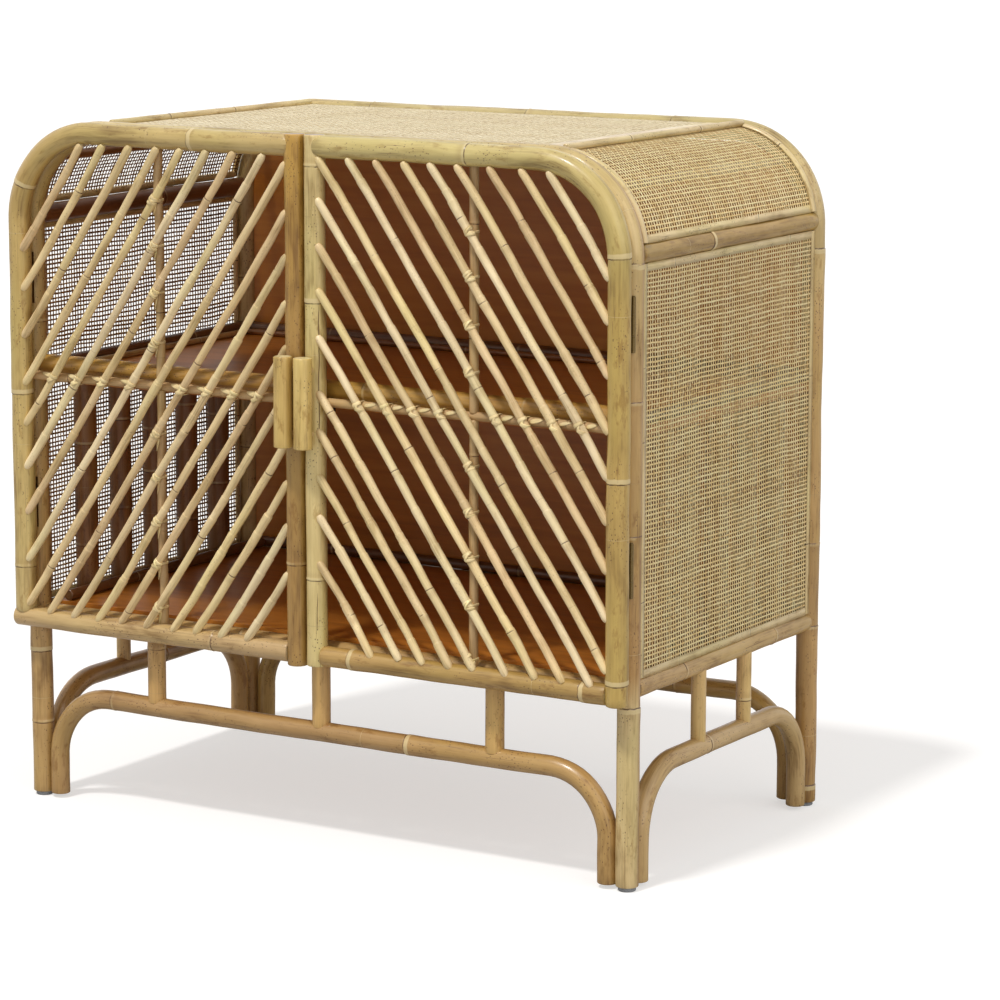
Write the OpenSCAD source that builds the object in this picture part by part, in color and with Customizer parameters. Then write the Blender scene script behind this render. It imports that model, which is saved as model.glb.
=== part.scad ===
// Rattan sideboard: a cabinet of bent and straight cane poles with open woven
// sides, one shelf and two doors filled with slanting sticks. Millimetres, +Z up,
// doors at the front (-Y), origin on the floor under the middle of the object.

/* [Frame] */
// Width between the centres of the left and right posts
frame_w = 845; // [760:5:960]
// Depth between the centres of the front and back posts
frame_d = 457; // [420:1:520]
// Height of the arches, from the ends of the posts to the top of the pole
frame_h = 850; // [800:5:940]
// Diameter of the poles of the two arches
pole_d = 27; // [25:0.5:29]
// Radius of the shoulder bends, at the middle of the pole
bend_r = 110; // [100:1:125]
// Diameter of the rails that join the arches
rail_d = 24; // [23.5:0.5:26]
// Height of the middle of the four lower rails
low_rail_z = 231.5; // [215:0.5:250]
// Rise of the side top rails above the start of the shoulder bend
top_rail_rise = 4.5; // [0:0.5:8]
// Diameter of the thin rail half way round each shoulder
shoulder_rail_d = 12; // [9:0.5:14]

/* [Base] */
// Diameter of the poles of the base arches
base_d = 24; // [23.5:0.5:26]
// Height of the middle of the base arches' bars
base_rise = 129; // [115:1:145]
// Radius of the base arches' bends, at the middle of the pole
base_bend = 78; // [60:1:90]
// Distance of the outer front and back struts from the middle
strut_x = 244; // [200:1:280]
// Distance of the side struts from the middle
side_strut_y = 58; // [40:1:90]
// Diameter of the front and back struts
strut_d = 23; // [20:0.5:23]
// Diameter of the side struts
side_strut_d = 18.5; // [16:0.5:22]
// Diameter of the glides under the posts
glide_d = 21; // [18:0.5:24]
// Height of the glides
glide_h = 5; // [3:0.5:8]

/* [Boards] */
// Thickness of the bottom board and the shelf
board_t = 12; // [9:0.5:13]
// Height of the top face of the bottom board above the middle of the lower rails
floor_rise = 13.5; // [13.5:0.5:16]
// Height of the top face of the shelf
shelf_z = 534; // [480:1:580]
// Thickness of the back panel
panel_t = 6; // [4:0.5:8]
// Thickness of the top board
top_t = 9; // [6:0.5:12]
// Thickness of the woven mat on the top board
mat_t = 1.6; // [1.2:0.1:2.2]
// Depth of the mat's face below the top of the arches
mat_drop = 5; // [4:0.5:7]
// Diameter of the posts that carry the shelf
shelf_post_d = 29; // [24:0.5:31]
// Number of shelf posts at each side
shelf_posts = 5; // [3:1:6]
// Distance from one shelf post to the next
shelf_post_pitch = 72; // [60:1:76]
// Diameter of the round strips at the back and the sides of the bottom board
floor_strip_d = 14; // [10:0.5:15]
// Diameter of the round strips at the back and the sides of the shelf
shelf_strip_d = 16; // [10:0.5:17]
// Diameter of the pale strips beside those of the shelf
pale_strip_d = 8; // [6:0.5:9]
// Height of the middle of the rail in front of the shelf
shelf_rail_z = 546.5; // [540:0.5:553]

/* [Cane panels] */
// Thickness of the woven cane sheets
cane_t = 1.6; // [1.2:0.1:2.2]
// Number of openings along each way of a flat cane sheet, where the weave is far finer
cane_holes = 12; // [4:1:12]
// Width of the strands between the openings
cane_strand = 14; // [8:0.5:16]
// Distance of the cane sheets outside the middle of the poles
cane_out = 6.5; // [5:0.5:7.5]
// Width of the half-round strips round the cane sheets
bead_w = 8; // [6:0.5:9]
// Diameter of the edge poles along the sides of the top
edge_pole_d = 9; // [7:0.5:10]
// Distance of the left edge pole short of the start of the shoulder bend
left_edge_run = 1.5; // [0:0.5:12]
// Run of the right edge pole past the start of the shoulder bend
right_edge_run = 14.5; // [8:0.5:20]
// Width of each of the two flat strips beside the right edge pole
flat_strip_w = 17; // [12:0.5:20]

/* [Doors] */
// Gap between the door poles and the posts behind them
door_gap = 1.6; // [1.6:0.1:2.4]
// Diameter of the meeting stiles and the bottom rails
door_pole_d = 25; // [23:0.5:26]
// Gap between the two meeting stiles
meeting_gap = 3; // [2:0.5:5]
// Diameter of the slanting sticks
stick_d = 9.2; // [8:0.1:9.6]
// Height from one stick to the next
stick_pitch = 54.6; // [46:0.2:62]
// Slope of the sticks from the horizontal, in degrees
stick_slope = 55.4; // [52:0.2:58]
// Height of the left door's lowest stick above the bottom rail, at its upper end
left_stick_first = 91; // [76:0.5:100]
// Height of the right door's lowest stick above the bottom rail, at its upper end
right_stick_first = 107.5; // [90:0.5:112]
// Distance of the sticks in front of the middle of the door
stick_ahead = 3.5; // [3:0.1:3.8]
// Diameter of the thin pole and the thin rail behind the sticks
thin_d = 11; // [9:0.5:11]
// Distance of the left door's thin pole from the middle of the cabinet
left_thin_x = 216; // [205:1:235]
// Distance of the right door's thin pole from the middle of the cabinet
right_thin_x = 228; // [215:1:245]
// Height of the thin rail
thin_rail_z = 535; // [490:1:570]
// Width of each cane tie
tie_w = 5; // [4:0.5:6]
// Wall of each cane tie
tie_t = 1.3; // [1:0.1:1.8]

/* [Handles] */
// Diameter of the handles
handle_d = 23; // [20:0.5:25]
// Length of the handles
handle_len = 108; // [90:1:130]
// Height of the middle of the handles
handle_z = 537; // [510:1:560]
// Gap between each handle and its stile
handle_gap = 4; // [3:0.5:8]
// Diameter of the dowels that carry the handles
dowel_d = 9; // [6:0.5:10]
// Distance of each dowel from the middle of the handle
dowel_reach = 38; // [25:1:42]

/* [Hinges and catch] */
// Height of the hinge leaves
hinge_h = 63; // [50:1:66]
// Thickness of the hinge leaves
leaf_t = 0.65; // [0.5:0.05:0.7]
// Width of the hinge leaves past the middle of the post
leaf_w = 9; // [6:0.5:11]
// Diameter of the hinge knuckles
knuckle_d = 5; // [4:0.1:5.4]
// Distance of the hinge pins outside the middle of the posts
hinge_out = 9.8; // [9:0.1:10.5]
// Diameter of the hinge pins
hinge_pin_d = 2; // [1.6:0.1:2.4]
// Height of the lower hinges above the lower rails
low_hinge_rise = 142; // [130:1:165]
// Depth of the upper hinges below the shoulder bend
high_hinge_drop = 72; // [55:1:86]
// Width of the magnet catch
catch_w = 38; // [37:1:46]
// Depth of the magnet catch from front to back
catch_len = 20; // [18:1:26]
// Height of the magnet catch
catch_h = 14; // [10:0.5:18]
// Thickness of the strike plates
strike_t = 1.2; // [0.8:0.1:1.5]

/* [Hidden] */
$fn = 48;

// Clearance where one pole is nailed to another, and where sheets and boards meet poles
seat = 0.15;
fit = 0.3;
// Setback of what would meet a post when a door is wide open
swing_fit = 1;
// Raised growth rings of the poles
ring_h = 0.6;
ring_w = 9;
// Clearance of boards and sheets beside a pole with rings
ring_fit = ring_h + seat;

// Colours from the photograph
pole_colour = [0.80, 0.70, 0.45];
stick_colour = [0.88, 0.79, 0.60];
cane_colour = [0.80, 0.68, 0.48];
mat_colour = [0.88, 0.81, 0.66];
board_colour = [0.43, 0.25, 0.13];
brass_colour = [0.72, 0.58, 0.30];
dark_colour = [0.20, 0.19, 0.18];
glide_colour = [0.62, 0.62, 0.62];

// Frame
post_x = frame_w / 2;
post_y = frame_d / 2;
pole_r = pole_d / 2;
top_z = frame_h - pole_r;
bend_z = top_z - bend_r;
bend_x = post_x - bend_r;
top_rail_z = bend_z + top_rail_rise;
rail_r = rail_d / 2;
cane_r = bend_r + cane_out;
cane_in = cane_r - cane_t / 2;
cane_face = cane_out + cane_t / 2;
bead_r = bead_w / 2;

// Base
base_x = post_x - pole_r - base_d / 2 - fit;
base_y = post_y - pole_r - base_d / 2 - fit;

// Boards
floor_z = low_rail_z + floor_rise;
side_face = post_x + cane_out - cane_t / 2;
post_row_x = side_face - shelf_post_d / 2 - ring_fit;
mat_z = frame_h - mat_drop;
board_z = mat_z - mat_t;
panel_x = post_x - pole_r - ring_fit;
left_edge_x = bend_x - left_edge_run;

// Half width of a round pole where it is cut off its middle plane
function half_chord(r, off) = sqrt(r * r - off * off);
// Room that a ringed pole takes from a sheet at its distance off the pole's middle
function ring_room(r, off) = half_chord(r + ring_h, off) + seat;
// Reach of a sheet between two poles that stand this far from the middle
function clear_reach(middle, r, off) = middle - ring_room(r, off);
side_y = clear_reach(post_y, pole_r, cane_out - cane_t / 2);
side_low_z = low_rail_z + ring_room(rail_r, cane_out - cane_t / 2);
side_high_z = clear_reach(top_rail_z, rail_r, cane_out - cane_t / 2);
// Angle at which the curved sheet leaves the side top rail, where its inner face is clear of it
rail_far = norm([bend_r, top_rail_rise]);
cane_start_a = atan2(top_rail_rise, bend_r)
    + acos((cane_in * cane_in + rail_far * rail_far - pow(rail_r + ring_fit, 2)) / (2 * cane_in * rail_far));

// Doors
door_y = -(post_y + pole_d + door_gap);
door_pole_r = door_pole_d / 2;
meet_x = meeting_gap / 2 + door_pole_r;
door_rail_z = low_rail_z - 1;
door_z = door_rail_z - door_pole_r;
stile_in_x = meet_x + door_pole_r;
stile_out_x = post_x - pole_r;
stick_r = stick_d / 2;
stick_m = tan(stick_slope);
thin_y = -stick_ahead + stick_r + thin_d / 2 + 0.2;
// A door's sticks all follow from the height of its lowest, first, above the bottom rail.
// Height of stick k at the inner edge of the meeting stile
function stick_top(first, k) = door_rail_z + first + k * stick_pitch;
// Height of stick k at a distance x from the middle of the cabinet
function stick_at(first, k, x) = stick_top(first, k) - stick_m * (x - stile_in_x);
// The topmost stick stays a fifth of a pitch clear below the shoulder bend
function sticks(first) =
    1 + floor((bend_z - stick_pitch / 5 - stick_at(first, 0, stile_out_x)) / stick_pitch);

// Handles, hinges and catch
handle_y = door_y - door_pole_r - handle_gap - handle_d / 2;
hinge_y = -(post_y + pole_r + door_gap / 2);
hinge_x = post_x + hinge_out;
hinge_zs = [low_rail_z + low_hinge_rise, bend_z - high_hinge_drop];
pin_fit = 0.08;
strike_y = door_y + door_pole_r + seat;
catch_front_y = strike_y + strike_t + fit;
catch_z = shelf_rail_z - rail_r - seat - catch_h;

// The object stands centred over the origin, from the handles to the back arch
front_reach = -handle_y + handle_d / 2;
back_reach = post_y + pole_r + ring_h;
centre_y = (front_reach - back_reach) / 2;

echo(hinge_axis = [hinge_x, hinge_y + centre_y], mat = mat_z + glide_h,
    sticks = [sticks(left_stick_first), sticks(right_stick_first)]);
echo(shelf_top = shelf_z + glide_h, floor_top = floor_z + glide_h, back = centre_y + post_y);

// Puts a piece of the cabinet on its glides, centred over the origin
module stand() {
    translate([0, centre_y, glide_h]) children();
}

// Side -1 is the left and is mirrored from side 1, the right
module side(s) {
    if (s < 0) mirror([1, 0, 0]) children();
    else children();
}

// Places a door piece in the plane of the doors
module door(s) {
    stand() side(s) translate([0, door_y, 0]) children();
}

// Straight pole along +Z, with growth rings at the given shares of its length
module pole(len, d, rings = []) {
    r = d / 2;
    outline = concat([[0, 0], [r, 0]],
        [for (share = rings) let (z = share * len)
            each [[r, z - ring_w / 2], [r + ring_h, z - ring_w / 6],
                [r + ring_h, z + ring_w / 6], [r, z + ring_w / 2]]],
        [[r, len], [0, len]]);
    rotate_extrude() polygon(outline);
}

// Pole from one x to another, at y = 0
module pole_x(x0, x1, d, rings = []) {
    translate([x0, 0, 0]) rotate([0, 90, 0]) pole(x1 - x0, d, rings);
}

// Pole from one y to another, at x = 0
module pole_y(y0, y1, d, rings = []) {
    translate([0, y0, 0]) rotate([-90, 0, 0]) pole(y1 - y0, d, rings);
}

// Quarter bend in the XZ plane about the origin, from +X up to +Z
module bend(r, d) {
    rotate([90, 0, 0]) rotate_extrude(angle = 90) translate([r, 0]) circle(d = d);
}

// One bent pole: two legs, two bends and a bar, in the XZ plane
module arch(half_w, rise, r, d, left_rings = [], bar_rings = [], right_rings = []) {
    for (s = [-1, 1]) side(s) {
        translate([half_w, 0, 0]) pole(rise - r, d, s < 0 ? left_rings : right_rings);
        translate([half_w - r, 0, rise - r]) bend(r, d);
    }
    translate([0, 0, rise]) pole_x(r - half_w, half_w - r, d, bar_rings);
}

// Plain outline of a frame arch, to cut the poles that are nailed to it
module frame_arch(grow = 0) {
    arch(post_x, top_z, bend_r, pole_d + 2 * grow);
}

// Half-round strip along +Y, its flat face on x = 0
module half_round_y(y0, y1) {
    translate([0, y0, 0]) rotate([-90, 0, 0]) linear_extrude(y1 - y0)
        intersection() {
            circle(r = bead_r);
            translate([0, -bead_r]) square([bead_r, bead_w]);
        }
}

// Half-round strip along +Z, its flat face on x = 0
module half_round_z(z0, z1) {
    translate([0, 0, z0]) linear_extrude(z1 - z0)
        intersection() {
            circle(r = bead_r);
            translate([0, -bead_r]) square([bead_r, bead_w]);
        }
}

module front_frame() {
    color(pole_colour) stand() translate([0, -post_y, 0])
        arch(post_x, top_z, bend_r, pole_d, [0.125, 0.626, 0.826], [0.24, 0.632],
            [0.644, 0.776]);
}

module back_frame() {
    color(pole_colour) stand() translate([0, post_y, 0])
        arch(post_x, top_z, bend_r, pole_d, [0.165, 0.523, 0.84], [0.152, 0.528, 0.864],
            [0.206, 0.453, 0.903]);
}

// Rail along X between the posts of one arch
module cross_rail(y, rings) {
    translate([0, y, 0]) difference() {
        translate([0, 0, low_rail_z]) pole_x(-post_x, post_x, rail_d, rings);
        frame_arch(seat);
    }
}

module front_bottom_rail() {
    color(pole_colour) stand() cross_rail(-post_y, [0.355, 0.615]);
}

module back_bottom_rail() {
    color(pole_colour) stand() cross_rail(post_y, [0.13, 0.391, 0.828]);
}

// Lower rail along Y between the posts of one side, cut to them and to the cross rails
module low_side_rail(s, rings) {
    side(s) difference() {
        translate([post_x, 0, low_rail_z]) pole_y(-post_y, post_y, rail_d, rings);
        for (y = [-post_y, post_y]) {
            translate([post_x, y, 0]) pole(bend_z, pole_d + 2 * seat);
            translate([0, y, low_rail_z]) pole_x(0, post_x, rail_d + 2 * seat);
        }
    }
}

// Side top rail, cut to the start of the bends: an arc drawn through below it clears the post too
module top_side_rail(s, rings) {
    turn = asin((rail_r + top_rail_rise) / (bend_r - pole_d));
    side(s) difference() {
        translate([post_x, 0, top_rail_z]) pole_y(-post_y, post_y, rail_d, rings);
        for (y = [-post_y, post_y]) translate([bend_x, y, bend_z]) rotate([90, 0, 0])
            rotate([0, 0, -turn]) rotate_extrude(angle = 2 * turn)
                translate([bend_r, 0]) circle(d = pole_d + 2 * fit);
    }
}

module left_bottom_rail() {
    color(pole_colour) stand() low_side_rail(-1, [0.416]);
}

module right_bottom_rail() {
    color(pole_colour) stand() low_side_rail(1, [0.472]);
}

// Rail between the front posts, before the edge of the shelf
module front_shelf_rail() {
    color(pole_colour) stand() translate([0, -post_y, 0]) difference() {
        translate([0, 0, shelf_rail_z]) pole_x(-post_x, post_x, rail_d, [0.581, 0.838]);
        frame_arch(seat);
    }
}

module left_top_rail() {
    color(pole_colour) stand() top_side_rail(-1, [0.569]);
}

module right_top_rail() {
    color(pole_colour) stand() top_side_rail(1, [0.381]);
}

// Thin rail inside the curved cane, half way round the shoulder
module shoulder_rail(s) {
    reach = cane_in - shoulder_rail_d / 2 - fit;
    side(s) difference() {
        translate([bend_x + reach * cos(45), 0, bend_z + reach * sin(45)])
            pole_y(-post_y, post_y, shoulder_rail_d);
        for (y = [-post_y, post_y]) translate([0, y, 0]) frame_arch(seat);
    }
}

module left_shoulder_rail() {
    color(pole_colour) stand() shoulder_rail(-1);
}

module right_shoulder_rail() {
    color(pole_colour) stand() shoulder_rail(1);
}

// Low arch between two legs, with its ends standing beside them
module base_arch(half_w, bar_rings) {
    arch(half_w, base_rise, base_bend, base_d, [], bar_rings, []);
}

module base_front_arch() {
    color(pole_colour) stand() translate([0, -post_y, 0]) base_arch(base_x, [0.019, 0.693]);
}

module base_back_arch() {
    color(pole_colour) stand() translate([0, post_y, 0]) base_arch(base_x, [0.298, 0.784]);
}

module base_left_arch() {
    color(pole_colour) stand() translate([-post_x, 0, 0]) rotate([0, 0, 90])
        base_arch(base_y, [0.601]);
}

module base_right_arch() {
    color(pole_colour) stand() translate([post_x, 0, 0]) rotate([0, 0, 90])
        base_arch(base_y, [0.332]);
}

// Upright strut, fish-mouthed on the base bar and on the lower rail
module strut(d, along_x) {
    turn = along_x ? 0 : 90;
    rotate([0, 0, turn]) difference() {
        translate([0, 0, base_rise]) pole(low_rail_z - base_rise, d);
        translate([0, 0, base_rise]) pole_x(-d, d, base_d + 2 * seat);
        translate([0, 0, low_rail_z]) pole_x(-d, d, rail_d + 2 * seat);
    }
}

module base_struts() {
    color(pole_colour) stand() {
        for (y = [-post_y, post_y], x = [-strut_x, 0, strut_x])
            translate([x, y, 0]) strut(strut_d, true);
        for (x = [-post_x, post_x], y = [-side_strut_y, side_strut_y])
            translate([x, y, 0]) strut(side_strut_d, false);
    }
}

// Glides with a small chamfer, one under each post
module foot_glides() {
    chamfer = 0.8;
    r = glide_d / 2;
    color(glide_colour) stand()
        for (x = [-post_x, post_x], y = [-post_y, post_y])
            translate([x, y, -glide_h]) rotate_extrude()
                polygon([[0, 0], [r - chamfer, 0], [r, chamfer], [r, glide_h], [0, glide_h]]);
}

// Board that lies inside the ring of lower rails
module bottom_board() {
    half_x = post_x - rail_r - ring_fit;
    half_y = post_y - rail_r - ring_fit;
    color(board_colour) stand() translate([-half_x, -half_y, floor_z - board_t])
        cube([2 * half_x, 2 * half_y, board_t]);
}

// Shelf between the cane sides, with a tongue that reaches back to the panel
module shelf_board() {
    half_x = post_x + cane_out - cane_t / 2 - fit;
    half_y = post_y - pole_r - ring_fit;
    tongue_y = post_y - panel_t / 2 - fit;
    color(board_colour) stand() translate([0, 0, shelf_z - board_t]) linear_extrude(board_t)
        union() {
            translate([-half_x, -half_y]) square([2 * half_x, 2 * half_y]);
            translate([-panel_x, 0]) square([2 * panel_x, tongue_y]);
        }
}

// Row of posts that stand on the bottom board and carry the shelf
module shelf_post_row(s) {
    base = floor_z + seat;
    first = -(shelf_posts - 1) / 2;
    side(s) for (k = [0 : shelf_posts - 1])
        translate([post_row_x, (first + k) * shelf_post_pitch, base])
            pole(shelf_z - board_t - seat - base, shelf_post_d,
                [0.217 + 0.134 * (k % 3), 0.687 + 0.08 * (k % 2)]);
}

module left_shelf_posts() {
    color(pole_colour) stand() shelf_post_row(-1);
}

module right_shelf_posts() {
    color(pole_colour) stand() shelf_post_row(1);
}

// Panel cut to the inside of the back arch, on the back lower rail
module back_panel() {
    low = low_rail_z + rail_r + ring_fit;
    corner = bend_r - pole_r - ring_fit;
    color(board_colour) stand() translate([0, post_y + panel_t / 2, 0])
        rotate([90, 0, 0]) linear_extrude(panel_t) union() {
            translate([-panel_x, low]) square([2 * panel_x, bend_z - low]);
            translate([-bend_x, low]) square([2 * bend_x, bend_z + corner - low]);
            for (x = [-bend_x, bend_x]) translate([x, bend_z]) circle(r = corner);
        }
}

panel_face = post_y - panel_t / 2;
strip_half_x = panel_x - fit;

// Round strips in the back corners of the bottom board and the shelf
module back_strips() {
    floor_r = floor_strip_d / 2;
    shelf_r = shelf_strip_d / 2;
    color(board_colour) stand() {
        translate([0, panel_face - floor_r - seat, floor_z + floor_r + seat])
            pole_x(-strip_half_x, strip_half_x, floor_strip_d);
        translate([0, panel_face - shelf_r - seat, shelf_z + shelf_r + seat])
            pole_x(-strip_half_x, strip_half_x, shelf_strip_d);
    }
}

// Round strips along the sides of both boards, and pale ones round three sides of the shelf
module board_strips() {
    floor_r = floor_strip_d / 2;
    shelf_r = shelf_strip_d / 2;
    pale_r = pale_strip_d / 2;
    floor_x = post_row_x - shelf_post_d / 2 - ring_fit - floor_r;
    side_x = side_face - shelf_r - seat;
    pale_x = side_x - shelf_r - pale_r - seat;
    pale_y = panel_face - shelf_strip_d - pale_r - 2 * seat;
    reach = post_y - pole_r - ring_fit - fit;
    color(pole_colour) stand() {
        for (s = [-1, 1]) side(s) {
            translate([floor_x, 0, floor_z + floor_r + seat])
                pole_y(-reach, panel_face - floor_strip_d - 2 * seat, floor_strip_d);
            translate([side_x, 0, shelf_z + shelf_r + seat]) pole_y(-reach, reach, shelf_strip_d);
            translate([pale_x, 0, shelf_z + pale_r + seat])
                pole_y(-reach, pale_y - pale_r - seat, pale_strip_d);
        }
        translate([0, pale_y, shelf_z + pale_r + seat])
            pole_x(-pale_x - pale_r, pale_x + pale_r, pale_strip_d);
    }
}

// Board between the straight bars of the two arches
module top_board() {
    half_y = post_y - pole_r - ring_fit;
    color(board_colour) stand() translate([-bend_x, -half_y, board_z - top_t])
        cube([2 * bend_x, 2 * half_y, top_t]);
}

// Reach of what lies on the top board, up to the round of the arches
top_half_y = clear_reach(post_y, pole_r, board_z - top_z);
strips_x = bend_x - 2 * flat_strip_w - fit;

// Mat from the left edge pole to the flat strips at the right
module top_mat() {
    left = left_edge_x - edge_pole_d / 2 - fit;
    color(mat_colour) stand() translate([-left, -top_half_y, board_z])
        cube([left + strips_x - fit, 2 * top_half_y, mat_t]);
}

// Pole along Y, flattened below, lying on the cane or the board
module edge_pole() {
    flat = edge_pole_d / 3;
    reach = clear_reach(post_y, pole_r, cane_face + seat);
    difference() {
        translate([0, 0, flat]) pole_y(-reach, reach, edge_pole_d);
        translate([-edge_pole_d, -reach - 1, -edge_pole_d]) cube([2 * edge_pole_d, 2 * reach + 2, edge_pole_d]);
    }
}

// The two edge poles of the top and the flat strips beside the right one
module top_edge_poles() {
    lie = cane_r + cane_t / 2 + seat;
    tilt = asin(right_edge_run / lie);
    color(pole_colour) stand() {
        translate([-left_edge_x, 0, bend_z + lie]) edge_pole();
        translate([bend_x, 0, bend_z]) rotate([0, tilt, 0]) translate([0, 0, lie]) edge_pole();
        for (k = [0, 1])
            translate([strips_x + k * (flat_strip_w + fit), -top_half_y, board_z])
                cube([flat_strip_w - fit, 2 * top_half_y, mat_t]);
    }
}

// Curved cane sheet from the side top rail round to the top board
module shoulder_cane(s) {
    side(s) translate([bend_x, side_y, bend_z]) rotate([90, 0, 0])
        rotate([0, 0, cane_start_a]) rotate_extrude(angle = 90 - cane_start_a)
            translate([cane_r - cane_t / 2, 0]) square([cane_t, 2 * side_y]);
}

module left_shoulder_cane() {
    color(cane_colour) stand() shoulder_cane(-1);
}

module right_shoulder_cane() {
    color(cane_colour) stand() shoulder_cane(1);
}

// Half-round strips on the curved cane: along both arches and along the side top rail
module shoulder_beading(s) {
    face = cane_r + cane_t / 2 + seat;
    strip_a = bead_w / face * 180 / PI;
    first_a = cane_start_a + strip_a / 2;
    end_a = 90 - (right_edge_run + edge_pole_d / 2 + 1) / face * 180 / PI;
    side(s) translate([bend_x, 0, bend_z]) {
        for (y = [-1, 1])
            translate([0, y * (side_y - bead_r), 0]) rotate([90, 0, 0])
                rotate([0, 0, cane_start_a]) rotate_extrude(angle = end_a - cane_start_a)
                    translate([face, 0]) intersection() {
                        circle(r = bead_r);
                        translate([0, -bead_r]) square([bead_r, bead_w]);
                    }
        rotate([0, -first_a, 0]) translate([face, 0, 0])
            half_round_y(-(side_y - bead_w - fit), side_y - bead_w - fit);
    }
}

module left_shoulder_beading() {
    color(pole_colour) stand() shoulder_beading(-1);
}

module right_shoulder_beading() {
    color(pole_colour) stand() shoulder_beading(1);
}

// Flat cane sheet of one side, between the posts and the two rails, with a plain edge
// under the half-round strips and openings between its strands
module side_cane(s) {
    wide = 2 * side_y - 2 * bead_w;
    high = side_high_z - side_low_z - 2 * bead_w;
    hole_w = (wide - (cane_holes - 1) * cane_strand) / cane_holes;
    hole_h = (high - (cane_holes - 1) * cane_strand) / cane_holes;
    side(s) translate([side_face, 0, side_low_z]) rotate([90, 0, 90]) linear_extrude(cane_t)
        difference() {
            translate([-side_y, 0]) square([2 * side_y, side_high_z - side_low_z]);
            for (i = [0 : cane_holes - 1], k = [0 : cane_holes - 1])
                translate([i * (hole_w + cane_strand) - side_y + bead_w, k * (hole_h + cane_strand) + bead_w])
                    square([hole_w, hole_h]);
        }
}

module left_side_cane() {
    color(cane_colour) stand() side_cane(-1);
}

module right_side_cane() {
    color(cane_colour) stand() side_cane(1);
}

// Half-round strips round the edges of the flat cane sheet
module side_beading(s) {
    inner_y = side_y - bead_w - fit;
    side(s) translate([post_x + cane_face + seat, 0, 0]) {
        for (y = [-1, 1]) translate([0, y * (side_y - bead_r), 0])
            half_round_z(side_low_z, side_high_z);
        for (z = [side_low_z + bead_r, side_high_z - bead_r]) translate([0, 0, z])
            half_round_y(-inner_y, inner_y);
    }
}

module left_side_beading() {
    color(pole_colour) stand() side_beading(-1);
}

module right_side_beading() {
    color(pole_colour) stand() side_beading(1);
}

// Knuckle barrel of one hinge between two shares of its height
module knuckle(from, to) {
    gap = 0.15;
    translate([hinge_x, hinge_y, hinge_h * from - hinge_h / 2 + (from > 0 ? gap : 0)])
        cylinder(d = knuckle_d, h = hinge_h * (to - from) - (from > 0 ? gap : 0) - (to < 1 ? gap : 0));
}

// Bore for the pin through all the knuckles of one hinge
module pin_bore() {
    translate([hinge_x, hinge_y, -hinge_h])
        cylinder(d = hinge_pin_d + 2 * pin_fit, h = 2 * hinge_h);
}

// Leaf between the pole and the knuckles, behind (1) or ahead (-1) of the hinge plane
module leaf(way, from, to) {
    slack = (door_gap / 2 - leaf_t) / 2;
    near = way > 0 ? slack : -slack - leaf_t;
    translate([post_x - leaf_w, hinge_y + near, hinge_h * from - hinge_h / 2])
        cube([leaf_w + hinge_out, leaf_t, hinge_h * (to - from)]);
}

// Leaf on the post, with the upper and lower knuckles
module post_leaf() {
    difference() {
        union() {
            leaf(1, 0, 1);
            knuckle(0, 0.3);
            knuckle(0.7, 1);
        }
        pin_bore();
        translate([hinge_x, hinge_y, -0.2 * hinge_h - 0.15])
            cylinder(d = knuckle_d + 2 * fit, h = 0.4 * hinge_h + 0.3);
    }
}

// Leaf on the door, with the middle knuckle
module door_leaf() {
    difference() {
        union() {
            leaf(-1, 0, 1);
            knuckle(0.3, 0.7);
        }
        pin_bore();
        for (z = [-hinge_h, 0.2 * hinge_h]) translate([hinge_x, hinge_y, z])
            cylinder(d = knuckle_d + 2 * fit, h = 0.8 * hinge_h);
    }
}

module hinge_post_leaves() {
    color(brass_colour) stand() for (s = [-1, 1], z = hinge_zs)
        side(s) translate([0, 0, z]) post_leaf();
}

// Pins with a low head on top
module hinge_pins() {
    head_h = 1.2;
    color(brass_colour) stand() for (s = [-1, 1], z = hinge_zs)
        side(s) translate([hinge_x, hinge_y, z - hinge_h / 2]) {
            cylinder(d = hinge_pin_d, h = hinge_h + pin_fit);
            translate([0, 0, hinge_h + pin_fit]) cylinder(d = knuckle_d - 1, h = head_h);
        }
}

// Twin magnet catch under the rail in front of the shelf
module magnet_catch() {
    magnet_w = 8;
    magnet_h = 6;
    magnet_lip = 0.2;
    color(dark_colour) stand() {
        translate([-catch_w / 2, catch_front_y + magnet_lip, catch_z])
            cube([catch_w, catch_len, catch_h]);
        for (s = [-1, 1])
            translate([s * meet_x - magnet_w / 2, catch_front_y, catch_z + (catch_h - magnet_h) / 2])
                cube([magnet_w, magnet_lip, magnet_h]);
    }
}

// Bent pole of a door: outer stile and top rail in one piece. Both are measured from the bend
module outer_pole(rail_under, stile_rings, bar_rings) {
    low = rail_under ? door_rail_z + door_pole_r / 2 : door_z;
    bar_end = meet_x + door_pole_r / 3;
    difference() {
        translate([post_x, 0, bend_z]) mirror([0, 0, 1]) pole(bend_z - low, pole_d, stile_rings);
        if (rail_under)
            translate([0, 0, door_rail_z]) pole_x(bend_x, post_x + pole_d, door_pole_d + 2 * seat);
    }
    translate([bend_x, 0, bend_z]) bend(bend_r, pole_d);
    difference() {
        translate([bend_x, 0, top_z]) rotate([0, -90, 0]) pole(bend_x - bar_end, pole_d, bar_rings);
        translate([meet_x, 0, door_z]) pole(frame_h, door_pole_d + 2 * seat);
    }
}

module left_door_outer_pole() {
    color(pole_colour) door(-1) outer_pole(true, [0.431, 0.88], [0.577]);
}

module right_door_outer_pole() {
    color(pole_colour) door(1) outer_pole(false, [0.512, 0.933], [0.386]);
}

// Upright pole beside the gap between the doors
module meeting_stile(drop, rings) {
    translate([meet_x, 0, door_z - drop]) pole(frame_h - door_z + drop, door_pole_d, rings);
}

module left_door_meeting_stile() {
    color(pole_colour) door(-1) meeting_stile(2.5, [0.197]);
}

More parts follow.
